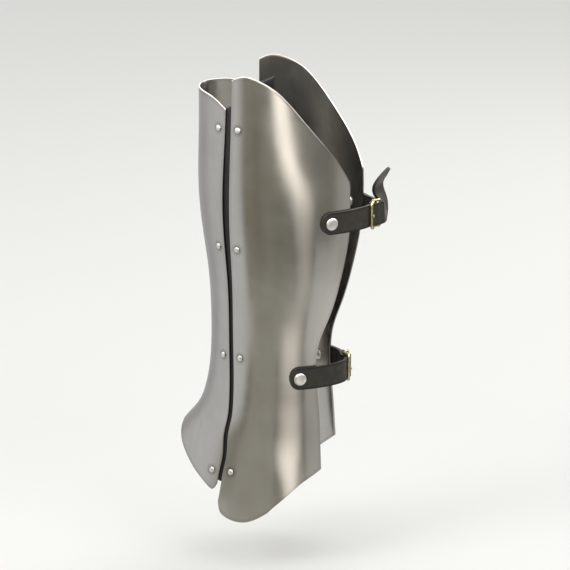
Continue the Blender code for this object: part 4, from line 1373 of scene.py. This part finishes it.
def buckle(run, axes):
    rail = STRAP_WIDTH / 2 + BUCKLE_SIDE_ROOM + OUTER_BAR
    straight = BUCKLE_HALF_LENGTH - BUCKLE_CORNER
    loop = []
    for turn, (along, up) in enumerate(((1, 1), (-1, 1), (-1, -1), (1, -1))):
        centre = (along * straight, up * (rail - BUCKLE_CORNER))
        loop += arc_points(centre, BUCKLE_CORNER, 90 * turn, 90 * (turn + 1), CORNER_STEPS + 1)
        if turn in (0, 2):
            loop += [(along * straight * (1 - 2 * i / RAIL_STEPS), up * rail) for i in range(1, RAIL_STEPS)]
    curve = bpy.data.curves.new("bar", "CURVE")
    curve.dimensions = "3D"
    curve.bevel_depth = OUTER_BAR
    curve.bevel_resolution = 4
    line = curve.splines.new("POLY")
    line.points.add(len(loop) - 1)
    for knot, (along, up) in zip(line.points, loop):
        near = max(1 - abs(along) / straight, 0)
        dip = CENTRE_BAR_DROP * (3 * near**2 - 2 * near**3)
        knot.co = (*axes.point(along, -dip, up), 1)
    line.use_cyclic_u = True
    guide = bpy.data.objects.new("bar", curve)
    bpy.context.scene.collection.objects.link(guide)
    graph = bpy.context.evaluated_depsgraph_get()
    bm = bmesh.new()
    bm.from_mesh(bpy.data.meshes.new_from_object(guide.evaluated_get(graph)))
    bpy.data.objects.remove(guide)
    bmesh.ops.recalc_face_normals(bm, faces=bm.faces)
    piece = show(f"{run.name}_buckle_cast", bm, brass_material, f"{run.name}_buckle")
    pivot = axes.point(0, -CENTRE_BAR_DROP)
    combine(piece, rod(pivot - rail * axes.up, pivot + rail * axes.up, CENTRE_BAR, 24), "UNION")
    print(piece.name, "frame points", len(loop))


# %% Tongue
TONGUE_OVERHANG = 0.0022
TONGUE_DROOP = 0.12  # of its overhang
TONGUE_ROOT = 50  # degrees up the loop to where the arm starts
TONGUE_EDGE = 0.0003
HOLE_REACH = 0.0045


def tongue(run, axes, strap_piece):
    rest = OUTER_BAR + FIT + TONGUE_THICKNESS / 2
    eye = CENTRE_BAR + FIT / 2
    loop = eye + TONGUE_THICKNESS / 2
    root = math.radians(TONGUE_ROOT)
    start = (-loop * math.cos(root), -CENTRE_BAR_DROP + loop * math.sin(root))
    end = (-BUCKLE_HALF_LENGTH, rest)
    tip = (-BUCKLE_HALF_LENGTH - TONGUE_OVERHANG, rest - TONGUE_DROOP * TONGUE_OVERHANG)
    middle = tuple((a + b) / 2 for a, b in zip(start, end))
    points = [axes.point(*place) for place in (start, middle, end, tip)]
    stations = [Station(point, axes.up) for point in points]
    arm = ribbon(
        f"{run.name}_tongue_cast",
        stations,
        lambda length, whole: TONGUE_WIDTH / 2,
        TONGUE_THICKNESS,
        TONGUE_EDGE,
        brass_material,
        f"{run.name}_tongue",
        columns=2,
    )
    finished(arm)
    pivot = axes.point(0, -CENTRE_BAR_DROP)
    half = TONGUE_WIDTH / 2 * axes.up
    combine(arm, rod(pivot - half, pivot + half, eye + TONGUE_THICKNESS), "UNION")
    punch(arm, pivot, axes.up, eye, 2 * TONGUE_WIDTH)
    way = (points[2] - points[0]).normalized()
    room = math.hypot(TONGUE_WIDTH, TONGUE_THICKNESS) / 2 + TONGUE_ROOM
    punch(strap_piece, axes.point(*middle), way, room, HOLE_REACH)
    print(arm.name, "through its hole")


# %% [markdown]
# ## Closing the greave
# Each strap, its chape, buckle, tongue and two large rivets are made in turn, the upper set first.

# %% Both closures
for run, free_end in ((UPPER, free_end_upper), (LOWER, free_end_lower)):
    buckle_axes = BuckleAxes(run)
    strap_piece = strap(run, buckle_axes, free_end)
    chape(run, buckle_axes)
    buckle(run, buckle_axes)
    tongue(run, buckle_axes, strap_piece)
    angle = strap_rivet_angle(run)
    for part, leather, mirror in (("strap", STRAP_THICKNESS, False), ("chape", 2 * CHAPE_THICKNESS, True)):
        grip = SHEET + STRAP_FIT + leather
        seat, way = lifted(angle, buckle_axes.height, grip), outward(angle, buckle_axes.height)
        if mirror:
            seat, way = mirrored(seat), mirrored(way)
        rivet(f"{run.name}_{part}_rivet", STRAP_RIVET, grip, seat, way)
print("rivets in all:", len(rivet_seats))

# %% [markdown]
# ## Painted shade round the rivets
# A soft dark ring of painted shade lies on the steel round each rivet. It stands for the rivet's contact
# shadow and its dark reflection. Each vertex of the plates keeps how much painted shade it gets, and the
# steel's material reads that.

# %% Painted shade round the rivets
RIVET_SHADE_REACH = 0.0045  # beyond the rivet's head
RIVET_SHADE_DARKEST = 0.8
# The painted shade is darkest at each rivet's head and fades out 4.5 mm beyond it.
for piece in steel_sheets:
    painted_rivet_shade = piece.data.attributes.new(PAINTED_RIVET_SHADE, "FLOAT", "POINT")
    for number, vert in enumerate(piece.data.vertices):
        nearest = min((vert.co - seat).length - head for seat, head in rivet_seats)
        painted_rivet_shade.data[number].value = RIVET_SHADE_DARKEST * max(0.0, min(1.0, 1 - nearest / RIVET_SHADE_REACH)) ** 2
    print(piece.name, "with", len(piece.data.vertices), "vertices")
